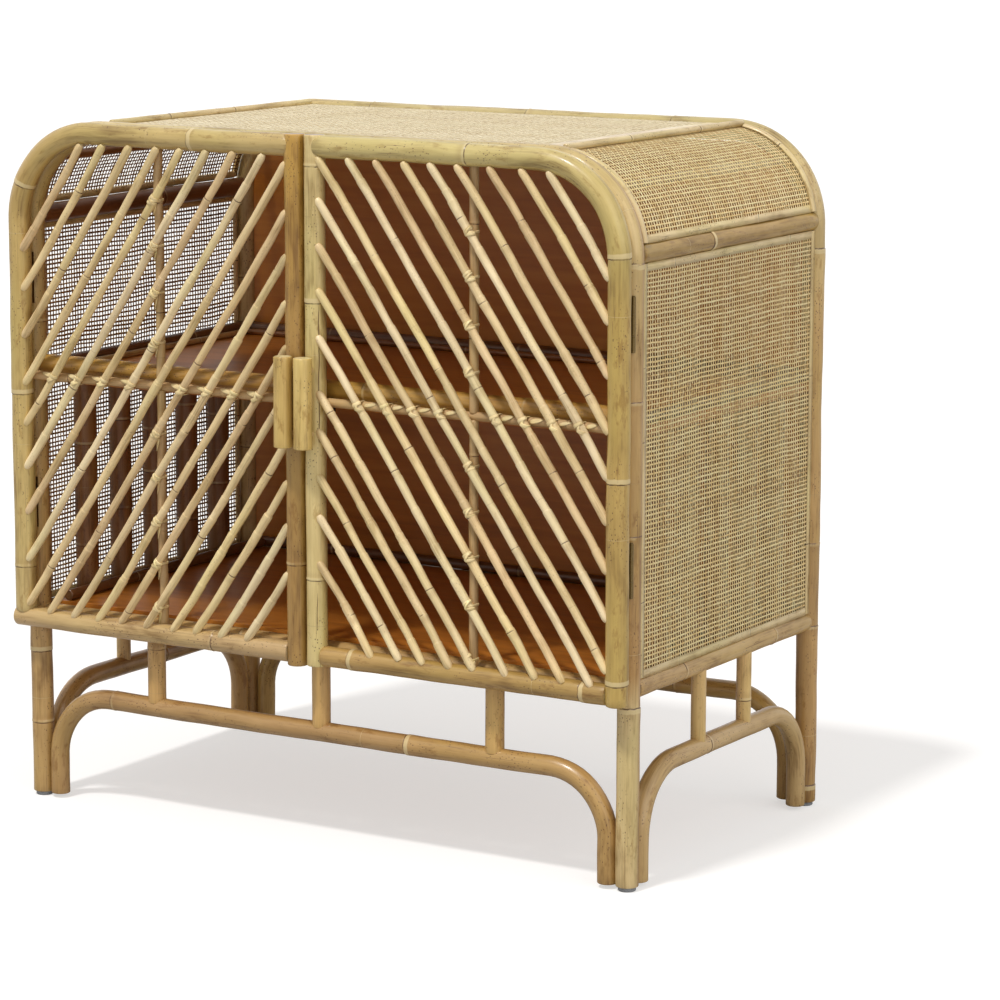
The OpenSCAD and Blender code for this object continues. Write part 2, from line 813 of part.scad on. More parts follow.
module right_door_meeting_stile() {
    color(pole_colour) door(1) meeting_stile(0, [0.168, 0.6867, 0.9454]);
}

// Bottom rail, between the stiles or passing under the outer one
module bottom_rail(rail_under, rings) {
    end = rail_under ? post_x + pole_r - swing_fit : post_x;
    difference() {
        translate([0, 0, door_rail_z]) pole_x(meet_x, end, door_pole_d, rings);
        translate([meet_x, 0, 0]) pole(frame_h, door_pole_d + 2 * seat);
        if (!rail_under) translate([post_x, 0, 0]) pole(frame_h, pole_d + 2 * seat);
    }
}

module left_door_bottom_rail() {
    color(pole_colour) door(-1) bottom_rail(true, [0.287]);
}

module right_door_bottom_rail() {
    color(pole_colour) door(1) bottom_rail(false, [0.113, 0.889]);
}

// Thin rail behind the sticks, from stile to stile
module thin_rail(grow = 0) {
    difference() {
        translate([0, thin_y, thin_rail_z]) pole_x(meet_x, post_x, thin_d + 2 * grow);
        translate([meet_x, 0, 0]) pole(frame_h, door_pole_d + 2 * seat);
        translate([post_x, 0, 0]) pole(bend_z, pole_d + 2 * seat);
    }
}

module left_door_thin_rail() {
    color(stick_colour) door(-1) thin_rail();
}

module right_door_thin_rail() {
    color(stick_colour) door(1) thin_rail();
}

// Thin upright pole behind the sticks, in two lengths that meet the thin rail
module thin_pole(x) {
    difference() {
        translate([x, thin_y, door_rail_z]) pole(top_z - door_rail_z, thin_d);
        translate([0, 0, door_rail_z]) pole_x(meet_x, post_x, door_pole_d + 2 * seat);
        translate([0, 0, top_z]) pole_x(meet_x, bend_x, pole_d + 2 * seat);
        translate([0, thin_y, thin_rail_z]) pole_x(x - thin_d, x + thin_d, thin_d + 2 * seat);
    }
}

module left_door_thin_pole() {
    color(stick_colour) door(-1) thin_pole(left_thin_x);
}

module right_door_thin_pole() {
    color(stick_colour) door(1) thin_pole(right_thin_x);
}

// Where stick k crosses the middle line of the shoulder bend, on its upper (-1) or lower (1) side
function bend_cross(first, k, way) =
    let (q = stick_at(first, k, bend_x) - bend_z, n = 1 + stick_m * stick_m)
    bend_x + (stick_m * q + way * sqrt(max(0, stick_m * stick_m * q * q - n * (q * q - bend_r * bend_r)))) / n;
// Upper end of stick k: on the meeting stile, the top rail or the bend
function stick_start_x(first, k) =
    let (x = stile_in_x + (stick_top(first, k) - top_z) / stick_m)
    x <= meet_x ? meet_x : x <= bend_x ? x : bend_cross(first, k, -1);
// Lower end of stick k: on the bottom rail, the outer stile or the bend
function stick_end_x(first, k) =
    let (x = stile_in_x + (stick_top(first, k) - door_rail_z) / stick_m)
    x <= post_x ? x : stick_at(first, k, post_x) <= bend_z ? post_x : bend_cross(first, k, 1);

// Round rod along stick k between two distances from the middle
module stick_rod(first, k, x0, x1, d) {
    translate([x0, -stick_ahead, stick_at(first, k, x0)]) rotate([0, 90 + stick_slope, 0])
        cylinder(d = d, h = (x1 - x0) / cos(stick_slope));
}

// All the sticks of a door, cut to sit on its poles
module stick_grille(first) {
    difference() {
        for (k = [0 : sticks(first) - 1])
            stick_rod(first, k, stick_start_x(first, k), stick_end_x(first, k), stick_d);
        translate([meet_x, 0, 0]) pole(frame_h, door_pole_d + 2 * seat);
        translate([0, 0, door_rail_z]) pole_x(meet_x, post_x, door_pole_d + 2 * seat);
        translate([post_x, 0, 0]) pole(bend_z, pole_d + 2 * seat);
        translate([bend_x, 0, bend_z]) bend(bend_r, pole_d + 2 * seat);
        translate([0, 0, top_z]) pole_x(0, bend_x, pole_d + 2 * seat);
    }
}

module left_door_sticks() {
    color(stick_colour) door(-1) stick_grille(left_stick_first);
}

module right_door_sticks() {
    color(stick_colour) door(1) stick_grille(right_stick_first);
}

// One cane tie round a stick and the thin pole behind it, which lies at an angle
module tie(first, k, x, lie) {
    z = stick_at(first, k, x);
    half_turn = abs(lie - stick_slope) / 2;
    r = max(stick_r, thin_d / 2) / cos(half_turn) + seat + tie_t;
    front = -stick_ahead - stick_r - seat - tie_t + r;
    back = thin_y + thin_d / 2 + seat + tie_t - r;
    difference() {
        translate([x, 0, z]) rotate([0, (lie + stick_slope) / 2, 0])
            translate([-tie_w / 2, 0, 0]) rotate([90, 0, 90]) linear_extrude(tie_w) union() {
                translate([front, 0]) circle(r = r);
                translate([back, 0]) circle(r = r);
                translate([front, -r]) square([back - front, 2 * r]);
            }
        stick_rod(first, k, x - 4 * stick_d, x + 4 * stick_d, stick_d + 2 * seat);
        translate([x, thin_y, z]) rotate([0, 90 + lie, 0])
            cylinder(d = thin_d + 2 * seat, h = 8 * thin_d, center = true);
    }
}

// Ties at each crossing of the sticks with the thin rail and the thin pole
module tie_set(first, thin_x) {
    edge = thin_d + tie_w;
    for (k = [0 : sticks(first) - 1]) {
        rail_x = stile_in_x + (stick_top(first, k) - thin_rail_z) / stick_m;
        pole_z = stick_at(first, k, thin_x);
        if (rail_x > stile_in_x + edge && rail_x < stile_out_x - edge
            && abs(rail_x - thin_x) > edge) tie(first, k, rail_x, 0);
        if (pole_z > door_rail_z + door_pole_r + edge && pole_z < top_z - pole_r - edge
            && abs(pole_z - thin_rail_z) > edge * stick_m) tie(first, k, thin_x, 90);
    }
}

module left_door_ties() {
    color(stick_colour) door(-1) tie_set(left_stick_first, left_thin_x);
}

module right_door_ties() {
    color(stick_colour) door(1) tie_set(right_stick_first, right_thin_x);
}

// Short upright pole in front of the meeting stile
module handle(s) {
    stand() side(s) translate([meet_x, handle_y, handle_z - handle_len / 2])
        pole(handle_len, handle_d);
}

module left_handle() {
    color(pole_colour) handle(-1);
}

module right_handle() {
    color(pole_colour) handle(1);
}

// Two dowels that hold the handle off the stile, shaped to both
module handle_dowels(s) {
    stand() side(s) for (z = [-dowel_reach, dowel_reach]) difference() {
        translate([meet_x, handle_y, handle_z + z]) rotate([-90, 0, 0])
            cylinder(d = dowel_d, h = door_y - handle_y);
        translate([meet_x, handle_y, 0]) pole(frame_h, handle_d + 2 * seat);
        translate([meet_x, door_y, 0]) pole(frame_h, door_pole_d + 2 * seat);
    }
}

module left_handle_dowels() {
    color(pole_colour) handle_dowels(-1);
}

module right_handle_dowels() {
    color(pole_colour) handle_dowels(1);
}

module left_hinge_door_leaves() {
    color(brass_colour) stand() side(-1) for (z = hinge_zs) translate([0, 0, z]) door_leaf();
}

module right_hinge_door_leaves() {
    color(brass_colour) stand() side(1) for (z = hinge_zs) translate([0, 0, z]) door_leaf();
}

// Plate on the back of the meeting stile that meets the magnet
module strike_plate(s) {
    plate_w = 12;
    plate_h = 24;
    mid_z = catch_z + catch_h / 2;
    stand() side(s) translate([meet_x - plate_w / 2, strike_y, mid_z - plate_h / 2])
        cube([plate_w, strike_t, plate_h]);
}

module left_strike_plate() {
    color(brass_colour) strike_plate(-1);
}

module right_strike_plate() {
    color(brass_colour) strike_plate(1);
}

front_frame();
back_frame();
front_bottom_rail();
back_bottom_rail();
left_bottom_rail();
right_bottom_rail();
left_top_rail();
right_top_rail();
left_shoulder_rail();
right_shoulder_rail();
base_front_arch();
base_back_arch();
base_left_arch();
base_right_arch();
base_struts();
foot_glides();
bottom_board();
shelf_board();
front_shelf_rail();
left_shelf_posts();
right_shelf_posts();
back_panel();
back_strips();
board_strips();
top_board();
top_mat();
top_edge_poles();
left_shoulder_cane();
right_shoulder_cane();
left_shoulder_beading();
right_shoulder_beading();
left_side_cane();
right_side_cane();
left_side_beading();
right_side_beading();
hinge_post_leaves();
hinge_pins();
magnet_catch();
left_door_outer_pole();
right_door_outer_pole();
left_door_meeting_stile();
right_door_meeting_stile();
left_door_bottom_rail();
right_door_bottom_rail();
left_door_thin_rail();
right_door_thin_rail();
left_door_thin_pole();
right_door_thin_pole();
left_door_sticks();
right_door_sticks();
left_door_ties();
right_door_ties();
left_handle();
right_handle();
left_handle_dowels();
right_handle_dowels();
left_hinge_door_leaves();
right_hinge_door_leaves();
left_strike_plate();
right_strike_plate();
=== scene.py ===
# Rattan sideboard: poles, sticks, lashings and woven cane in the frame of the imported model.
import math
import random

import bpy
import numpy as np
from mathutils import Matrix, Vector


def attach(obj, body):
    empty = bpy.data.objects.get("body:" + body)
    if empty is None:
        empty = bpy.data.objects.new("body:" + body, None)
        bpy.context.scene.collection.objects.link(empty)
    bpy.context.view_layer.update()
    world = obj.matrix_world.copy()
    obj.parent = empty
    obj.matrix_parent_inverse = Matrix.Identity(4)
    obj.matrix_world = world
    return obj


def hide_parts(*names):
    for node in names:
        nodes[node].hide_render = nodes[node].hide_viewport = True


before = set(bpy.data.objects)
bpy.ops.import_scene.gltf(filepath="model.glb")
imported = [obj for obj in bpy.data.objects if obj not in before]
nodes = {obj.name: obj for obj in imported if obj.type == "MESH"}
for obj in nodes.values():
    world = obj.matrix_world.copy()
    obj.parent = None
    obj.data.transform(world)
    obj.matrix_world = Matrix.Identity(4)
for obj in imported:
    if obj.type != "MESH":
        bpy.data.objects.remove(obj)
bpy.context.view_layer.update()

# Sizes of the frame in millimetres, before it is put on its glides
CENTRE_Y = 27.0
GLIDE_H = 5.0
SEAT = 0.15
FIT = 0.3
RING_H = 0.6
RING_FIT = 0.75
POST_X = 422.5
POST_Y = 228.5
POLE_R = 13.5
FRAME_H = 850.0
BEND_R = 110.0
TOP_Z = FRAME_H - POLE_R
BEND_Z = TOP_Z - BEND_R
BEND_X = POST_X - BEND_R
RAIL_R = 12.0
LOW_RAIL_Z = 231.5
TOP_RAIL_RISE = 4.5
TOP_RAIL_Z = BEND_Z + TOP_RAIL_RISE
BASE_R = 12.0
BASE_RISE = 129.0
BASE_BEND = 78.0
BASE_X = POST_X - POLE_R - BASE_R - FIT
BASE_Y = POST_Y - POLE_R - BASE_R - FIT
SHELF_Z = 534.0
FLOOR_Z = 245.0
SHELF_RAIL_Z = 546.5
CANE_OUT = 6.5
CANE_HALF = 0.8
CANE_R = BEND_R + CANE_OUT
BEAD_R = 4.0
DOOR_Y = -257.1
DOOR_POLE_R = 12.5
MEET_X = 14.0
STILE_IN_X = MEET_X + DOOR_POLE_R
DOOR_RAIL_Z = 230.5
DOOR_Z = DOOR_RAIL_Z - DOOR_POLE_R
STICK_R = 4.6
STICK_SLOPE = 55.4
STICK_M = math.tan(math.radians(STICK_SLOPE))
STICK_PITCH = 54.6
STICK_Y = DOOR_Y - 3.5
PEELED_R = 5.15
PEELED_Y = STICK_Y - 0.5
THIN_R = 5.5
THIN_Y = STICK_Y + STICK_R + THIN_R + 0.2
THIN_Z = 535.0
TIE_EDGE = 16.0
HANDLE_Y = -285.1
FAR = 60.0
SHELF_POST_R = 14.5
SHELF_POST_PITCH = 72
BOARD_T = 12
LOW_STRIP_R = 7.0
SHELF_STRIP_R = 8.0
THIN_STRIP_R = 4.0
SHOULDER_RAIL_R = 6.0
EDGE_POLE_R = 4.5
EDGE_RUN = 14.5
MAT_DROP = 5
MAT_THICK = 1.6
HANDLE_Z = 537
HANDLE_HALF = 54
INNER_FACE = POST_X + CANE_OUT - CANE_HALF
PANEL_FACE = POST_Y - 3
SIDES = ((-1, "left"), (1, "right"))

# Screen colours of the poles
STRAW = (198, 170, 112)
PALE_STRAW = (193, 173, 119)
TAN = (190, 154, 96)
BROWN = (178, 138, 80)
UMBER = (112, 72, 40)
CUT = (224, 206, 160)
CRACK = (122, 92, 46)
TIE_PAINT = (234, 212, 160)


def srgb(*colour):
    """Linear colour from the 0 to 255 values of a screen."""
    parts = [c / 255 for c in colour]
    return *(c / 12.92 if c <= 0.04045 else ((c + 0.055) / 1.055) ** 2.4 for c in parts), 1.0


def wave(seed, lengths=(310, 140, 67), total=1.0):
    """Smooth random function of a distance in millimetres, about -total to total."""
    rng = random.Random(seed)
    parts = [(total / (i + 1) / 1.6, 2 * math.pi / (w * rng.uniform(0.8, 1.25)), rng.uniform(0, 6.28))
             for i, w in enumerate(lengths)]
    return lambda s: sum(a * np.sin(k * np.asarray(s, float) + p) for a, k, p in parts)


# Materials

class Shader:
    """Short way to write the nodes of a material or a world."""

    def __init__(self, name, blocks=bpy.data.materials):
        self.block = blocks.new(name)
        self.block.use_nodes = True
        self.tree = self.block.node_tree
        self.bsdf = self.tree.nodes.get("Principled BSDF")

    def node(self, kind, inputs=None, **values):
        node = self.tree.nodes.new(kind)
        for key, value in values.items():
            setattr(node, key, value)
        self.fill(node, inputs or {})
        return node

    def fill(self, node, inputs):
        for key, value in inputs.items():
            if isinstance(value, bpy.types.NodeSocket):
                self.tree.links.new(value, node.inputs[key])
            else:
                node.inputs[key].default_value = value

    def attr(self, name, out="Fac"):
        return self.node("ShaderNodeAttribute", attribute_name=name).outputs[out]

    def place(self):
        return self.node("ShaderNodeTexCoord").outputs["Object"]

    def math(self, op, a, b=0.0):
        return self.node("ShaderNodeMath", {0: a, 1: b}, operation=op).outputs[0]

    def add(self, a, b):
        return self.math("ADD", a, b)

    def times(self, a, b):
        return self.math("MULTIPLY", a, b)

    def away(self, value, middle):
        """How far a value is from a middle, either way."""
        return self.math("ABSOLUTE", self.math("SUBTRACT", value, middle))

    def scale(self, vector, factors):
        return self.node("ShaderNodeVectorMath", {0: vector, 1: factors}, operation="MULTIPLY").outputs[0]

    def noise(self, vector, factors, detail=2.0, rough=0.5, distort=0.0):
        return self.node("ShaderNodeTexNoise", {
            "Vector": self.scale(vector, factors), "Scale": 1.0, "Detail": detail, "Roughness": rough,
            "Distortion": distort}).outputs["Fac"]

    def dots(self, vector, factors):
        inputs = {"Vector": self.scale(vector, factors), "Scale": 1.0}
        return self.node("ShaderNodeTexVoronoi", inputs).outputs["Distance"]

    def spread(self, value, low, high, to_low=0.0, to_high=1.0):
        inputs = {"Value": value, "From Min": low, "From Max": high, "To Min": to_low, "To Max": to_high}
        return self.node("ShaderNodeMapRange", inputs, interpolation_type="SMOOTHSTEP").outputs["Result"]

    def mix(self, factor, a, b, blend="MIX"):
        inputs = {0: factor, 6: a, 7: b}
        return self.node("ShaderNodeMix", inputs, data_type="RGBA", blend_type=blend).outputs[2]

    def shaded(self, colour, by):
        return self.mix(1.0, colour, by, "MULTIPLY")

    def ramp(self, value, *stops):
        node = self.node("ShaderNodeValToRGB", {0: value})
        elements = node.color_ramp.elements
        while len(elements) < len(stops):
            elements.new(0.5)
        for element, (place, colour) in zip(elements, stops):
            element.position = place
            element.color = colour
        return node.outputs[0]

    def bump(self, height, strength, distance):
        inputs = {"Height": height, "Strength": strength, "Distance": distance}
        self.fill(self.bsdf, {"Normal": self.node("ShaderNodeBump", inputs).outputs[0]})

    def done(self, colour, rough, coat=0.0, coat_rough=0.2, spec=0.5, metal=0.0):
        self.fill(self.bsdf, {"Base Color": colour, "Roughness": rough, "Coat Weight": coat,
                              "Coat Roughness": coat_rough, "Specular IOR Level": spec, "Metallic": metal})
        return self.block


def pole_material(name, specks, stains, ring_dark, ring_pale, rough, coat):
    """Varnished cane in each piece's own colour: mottled along its length, with fine fibres, dark specks in
    clusters, growth rings with a broken dark line and joints with a cracked pale scar."""
    m = Shader(name)
    flat = m.attr("flat", "Vector")
    cloud = m.noise(flat, (12, 40, 40), 3.0, 0.6, 0.4)
    grain = m.noise(flat, (16, 420, 420), 3.0, 0.65)
    fibre = m.noise(flat, (40, 1500, 1500), 2.0, 0.6)
    level = m.add(cloud, m.times(m.math("SUBTRACT", grain, 0.5), 0.55))
    dark = (0.66 - 0.16 * specks, 0.6 - 0.18 * specks, 0.5 - 0.2 * specks, 1)
    mottle = m.ramp(level, (0.25, dark), (0.46, (0.98, 0.96, 0.93, 1)), (0.74, (1.18, 1.2, 1.26, 1)))
    colour = m.shaded(m.attr("paint", "Color"), mottle)
    greenish = m.spread(m.noise(flat, (5, 18, 18)), 0.42, 0.66, 0.0, 0.55)
    colour = m.mix(greenish, colour, m.shaded(colour, (0.93, 1.0, 0.80, 1)))
    stain = m.spread(m.noise(flat, (24, 70, 70), 4.0, 0.7), 0.55, 0.69, 0.0, stains)
    colour = m.mix(stain, colour, m.shaded(colour, (0.62, 0.50, 0.34, 1)))
    cluster = m.spread(m.noise(flat, (14, 55, 55)), 0.46, 0.62)
    speck = m.spread(m.dots(flat, (210, 330, 330)), 0.12, 0.28, specks, 0.0)
    colour = m.mix(m.times(speck, cluster), colour, srgb(92, 58, 30))
    streak = m.spread(m.noise(flat, (11, 620, 620), 1.0), 0.66, 0.74, 0.0, specks * 0.7)
    colour = m.mix(m.times(streak, cluster), colour, srgb(104, 66, 34))
    broken = m.spread(m.noise(flat, (9, 90, 90)), 0.36, 0.58)
    waver = m.times(m.math("SUBTRACT", m.noise(flat, (6, 120, 120)), 0.5), 3.0)
    at_ring = m.add(m.attr("ring"), m.times(waver, 0.5))
    at_joint = m.add(m.attr("joint"), waver)
    halo = m.spread(m.away(at_ring, 5.0), 0.0, 8.0, 0.34, 0.0)
    colour = m.mix(m.times(halo, cloud), colour, srgb(140, 98, 52))
    pale = m.spread(m.away(at_ring, 0.6), 0.8, 2.2, ring_pale, 0.0)
    colour = m.mix(m.times(pale, m.spread(cloud, 0.35, 0.6)), colour, srgb(226, 208, 158))
    line = m.spread(m.away(at_ring, -1.6), 0.3, 0.95, ring_dark, 0.0)
    colour = m.mix(m.times(line, broken), colour, srgb(78, 46, 22))
    scar = m.spread(m.away(at_joint, 3.6), 2.0, 3.2, 0.75, 0.0)
    colour = m.mix(scar, colour, srgb(222, 200, 148))
    crack = m.spread(m.away(at_joint, 0.0), 0.35, 1.0, 0.95, 0.0)
    colour = m.mix(m.times(crack, m.add(m.times(broken, 0.75), 0.25)), colour, srgb(74, 44, 22))
    m.bump(m.add(m.times(fibre, 0.25), m.times(grain, 0.75)), 0.3, 0.0005)
    return m.done(colour, m.spread(cloud, 0.3, 0.7, rough + 0.1, rough - 0.08), coat)


MAT_POLE = pole_material("varnished_pole", 0.85, 0.75, 0.85, 0.4, 0.4, 0.35)
MAT_STICK = pole_material("peeled_stick", 0.25, 0.3, 0.9, 0.12, 0.5, 0.12)


def cane_material(name, *tones):
    """Flat strands of cane, each with its own tone, with painted shade on their inner faces and a painted
    highlight on their outer faces.
    """
    m = Shader(name)
    flat = m.attr("flat", "Vector")
    cloud = m.noise(flat, (30, 30, 30), 3.0, 0.6)
    fine = m.noise(flat, (300, 900, 900), 2.0, 0.6)
    level = m.add(m.times(m.attr("tone"), 0.2), cloud)
    level = m.add(level, m.times(m.math("SUBTRACT", fine, 0.5), 0.25))
    m.bump(fine, 0.3, 0.0003)
    return m.done(m.ramp(level, *zip((0.2, 0.5, 0.8), tones)), 0.6, 0.05, 0.3, 0.4)


MAT_CANE = cane_material("woven_cane", srgb(142, 98, 52), srgb(236, 203, 138), srgb(250, 231, 176))
MAT_MAT = cane_material("woven_mat", srgb(164, 133, 92), srgb(211, 192, 152), srgb(232, 218, 185))


def board_material():
    """Red-brown stained and varnished board with long grain, its colour made dark and saturated partly as
    painted shade of the cabinet's inside.
    """
    m = Shader("stained_board_with_painted_shade")
    place = m.place()
    grain = m.noise(place, (3.5, 70, 70), 5.0, 0.6, 0.6)
    fine = m.noise(place, (12, 500, 500), 3.0, 0.6)
    level = m.add(m.times(grain, 0.5), m.times(m.noise(place, (4, 7, 7), 3.0, 0.55), 0.5))
    # These browns are partly the board's stain and partly painted shade.
    colour = m.ramp(level, (0.3, srgb(158, 92, 31)), (0.5, srgb(195, 121, 44)), (0.7, srgb(213, 142, 58)))
    m.bump(m.add(grain, m.times(fine, 0.5)), 0.15, 0.0004)
    return m.done(colour, 0.36, 0.15, 0.25)


def dowel_material():
    """Cane on the dowels, which have no attributes of their own."""
    m = Shader("plain_dowel")
    grain = m.noise(m.place(), (700, 20, 700), 3.0, 0.6)
    level = m.add(m.times(grain, 0.45), m.times(m.noise(m.place(), (60, 12, 60), 3.0, 0.6), 0.55))
    colour = m.ramp(level, (0.3, srgb(176, 140, 90)), (0.5, srgb(206, 176, 122)),
                    (0.7, srgb(224, 200, 152)))
    m.bump(grain, 0.3, 0.0004)
    return m.done(colour, 0.45, 0.2)


def plain_material(name, colour, rough, metal=0.0):
    """Small metal and moulded parts, with a fine uneven surface."""
    m = Shader(name)
    fine = m.noise(m.place(), (900, 900, 900))
    dull = tuple(c * 0.7 for c in colour[:3]) + (1.0,)
    shade = m.mix(m.spread(fine, 0.3, 0.7), dull, colour)
    m.bump(fine, 0.15, 0.0002)
    return m.done(shade, m.spread(fine, 0.2, 0.8, rough, rough + 0.12), metal=metal)


MAT_BOARD = board_material()
MAT_DOWEL = dowel_material()
MAT_BRASS = plain_material("dark_brass", srgb(132, 112, 74), 0.38, 1.0)
MAT_CATCH = plain_material("brown_moulding", srgb(66, 46, 34), 0.45)
MAT_GLIDE = plain_material("grey_moulding", srgb(150, 152, 156), 0.4)


# Paths: straight runs and arcs, each with one side direction that is square to all of it

class Path:
    def __init__(self, side):
        self.parts = []
        self.length = 0.0
        self.side = np.array(side, float)

    def line(self, a, b):
        a = np.array(a, float)
        b = np.array(b, float)
        size = float(np.linalg.norm(b - a))
        self.parts.append((self.length, size, "line", a, (b - a) / size, None, 0.0))
        self.length += size
        return self

    def arc(self, centre, start, end, angle=math.pi / 2):
        """Arc from centre + start towards centre + end, which is a quarter turn on."""
        start = np.array(start, float)
        end = np.array(end, float)
        r = float(np.linalg.norm(start))
        self.parts.append((self.length, r * angle, "arc", np.array(centre, float), start, end, r))
        self.length += r * angle
        return self

    def at(self, s):
        """Points and tangents at an array of distances."""
        s = np.clip(np.asarray(s, float), 0, self.length)
        points = np.zeros((len(s), 3))
        tangents = np.zeros((len(s), 3))
        for start, size, kind, a, b, c, r in self.parts:
            on = (s >= start - 1e-9) & (s <= start + size + 1e-9)
            d = (s[on] - start)[:, None]
            if kind == "line":
                points[on] = a + b * d
                tangents[on] = b
            else:
                t = d / r
                points[on] = a + b * np.cos(t) + c * np.sin(t)
                tangents[on] = (-b * np.sin(t) + c * np.cos(t)) / r
        return points, tangents


def rod(a, b, side=None):
    """Straight path between two points."""
    a = np.array(a, float)
    b = np.array(b, float)
    if side is None:
        along = (b - a) / np.linalg.norm(b - a)
        other = np.array([0, 1.0, 0]) if abs(along[1]) < 0.9 else np.array([1.0, 0, 0])
        side = np.cross(along, other)
        side /= np.linalg.norm(side)
    return Path(side).line(a, b)


# Meshes

def add_object(name, data):
    obj = bpy.data.objects.new(name, data)
    bpy.context.scene.collection.objects.link(obj)
    return obj


def build(name, verts, quads, fans, attrs, body="cabinet", replaced=(), slot="pole",
          material=MAT_POLE):
    """Mesh object from millimetres in the model's own frame, riding on a body."""
    moved = (verts + [0, CENTRE_Y, GLIDE_H]) / 1000
    loops = np.concatenate([quads.ravel()] + [np.array(f, int) for f in fans])
    sizes = np.array([4] * len(quads) + [len(f) for f in fans])
    starts = np.concatenate([[0], np.cumsum(sizes)[:-1]])
    mesh = bpy.data.meshes.new(name)
    mesh.vertices.add(len(moved))
    mesh.vertices.foreach_set("co", moved.ravel())
    mesh.loops.add(len(loops))
    mesh.loops.foreach_set("vertex_index", loops.astype(np.int32))
    mesh.polygons.add(len(sizes))
    mesh.polygons.foreach_set("loop_start", starts.astype(np.int32))
    mesh.update(calc_edges=True)
    mesh.polygons.foreach_set("use_smooth", np.arange(len(sizes)) < len(quads))
    for key, values in attrs.items():
        kind, field = ("FLOAT", "value") if values.ndim == 1 else ("FLOAT_VECTOR", "vector")
        mesh.attributes.new(key, kind, "POINT").data.foreach_set(field, values.ravel())
    mesh.validate()
    obj = add_object(name, mesh)
    mesh.materials.append(material)
    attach(obj, body)
    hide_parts(*replaced)


class Batch:
    """Gathers swept pieces into one mesh."""

    def __init__(self):
        self.verts = []
        self.quads = []
        self.fans = []
        self.attrs = {}
        self.count = 0

    def add(self, verts, quads, fans, attrs):
        self.verts.append(verts)
        self.quads.append(quads + self.count)
        self.fans += [[i + self.count for i in f] for f in fans]
        for key, values in attrs.items():
            self.attrs.setdefault(key, []).append(values)
        self.count += len(verts)

    def pole(self, path, r, **kwargs):
        self.add(*sweep(path, r, **kwargs))

    def whole(self):
        attrs = {k: np.concatenate(v) for k, v in self.attrs.items()}
        return np.concatenate(self.verts), np.concatenate(self.quads), self.fans, attrs

    def build(self, name, **kwargs):
        build(name, *self.whole(), **kwargs)


def wrap(low, high, k):
    """Quads between pairs of rings of k points that start at the indices low and high."""
    j = np.arange(k)
    ahead = np.roll(j, -1)
    return np.stack([low + j, low + ahead, high + ahead, high + j], -1).reshape(-1, 4)


def paint_at(paint, s):
    """Linear colours at distances along a pole, from one screen colour or stops of distance and colour."""
    if not isinstance(paint[0], tuple):
        paint = [(0.0, paint)]
    places = [place for place, colour in paint]
    colours = np.array([srgb(*colour)[:3] for place, colour in paint])
    return np.stack([np.interp(s, places, colours[:, i]) for i in range(3)], 1)


def ribbon(points, wide, outward, widths, thick, seed, paint=TIE_PAINT, closed=False):
    """A flat strand along points, rounded on its outer side."""
    rng = random.Random(seed)
    n = len(points)
    w = np.asarray(widths, float).reshape(-1, 1) / 2
    t = thick / 2
    parts = [points + wide * w, points + outward * t + wide * w * 0.55, points + outward * t * 1.3,
             points + outward * t - wide * w * 0.55, points - wide * w, points - outward * t]
    k = len(parts)
    verts = np.stack(parts, 1).reshape(-1, 3)
    rows = np.arange(n if closed else n - 1)[:, None]
    quads = wrap(rows * k, (rows + 1) % n * k, k)
    fans = [] if closed else [np.arange(k)[::-1], (n - 1) * k + np.arange(k)]
    flat = np.zeros((len(verts), 3))
    flat[:, 0] = np.repeat(np.arange(n) * 2.5 / 1000, k) + rng.uniform(0, 30)
    flat[:, 1] = np.tile(np.arange(k) / 1000, n)
    colour = np.array(srgb(*paint)[:3]) * (1 + rng.gauss(0, 0.07))
    far = np.full(len(verts), FAR)
    attrs = {"flat": flat, "paint": np.tile(colour, (len(verts), 1)), "ring": far, "joint": far}
    return verts, quads, fans, attrs


def nearest(s, marks):
    """Signed distance from each place along a pole to its nearest mark."""
    near = np.full(len(s), FAR)
    for mark in marks:
        d = s - mark
        near = np.where(np.abs(d) < np.abs(near), d, near)
    return near


# Where a pole is cut into sections on both sides of a ring, joint or step
RING_STEPS = (-11, -7, -4.6, -3, -2.2, -1.5, -0.9, -0.3, 0.3, 0.9, 1.5, 2.4, 3.6, 5.4, 8, 12)


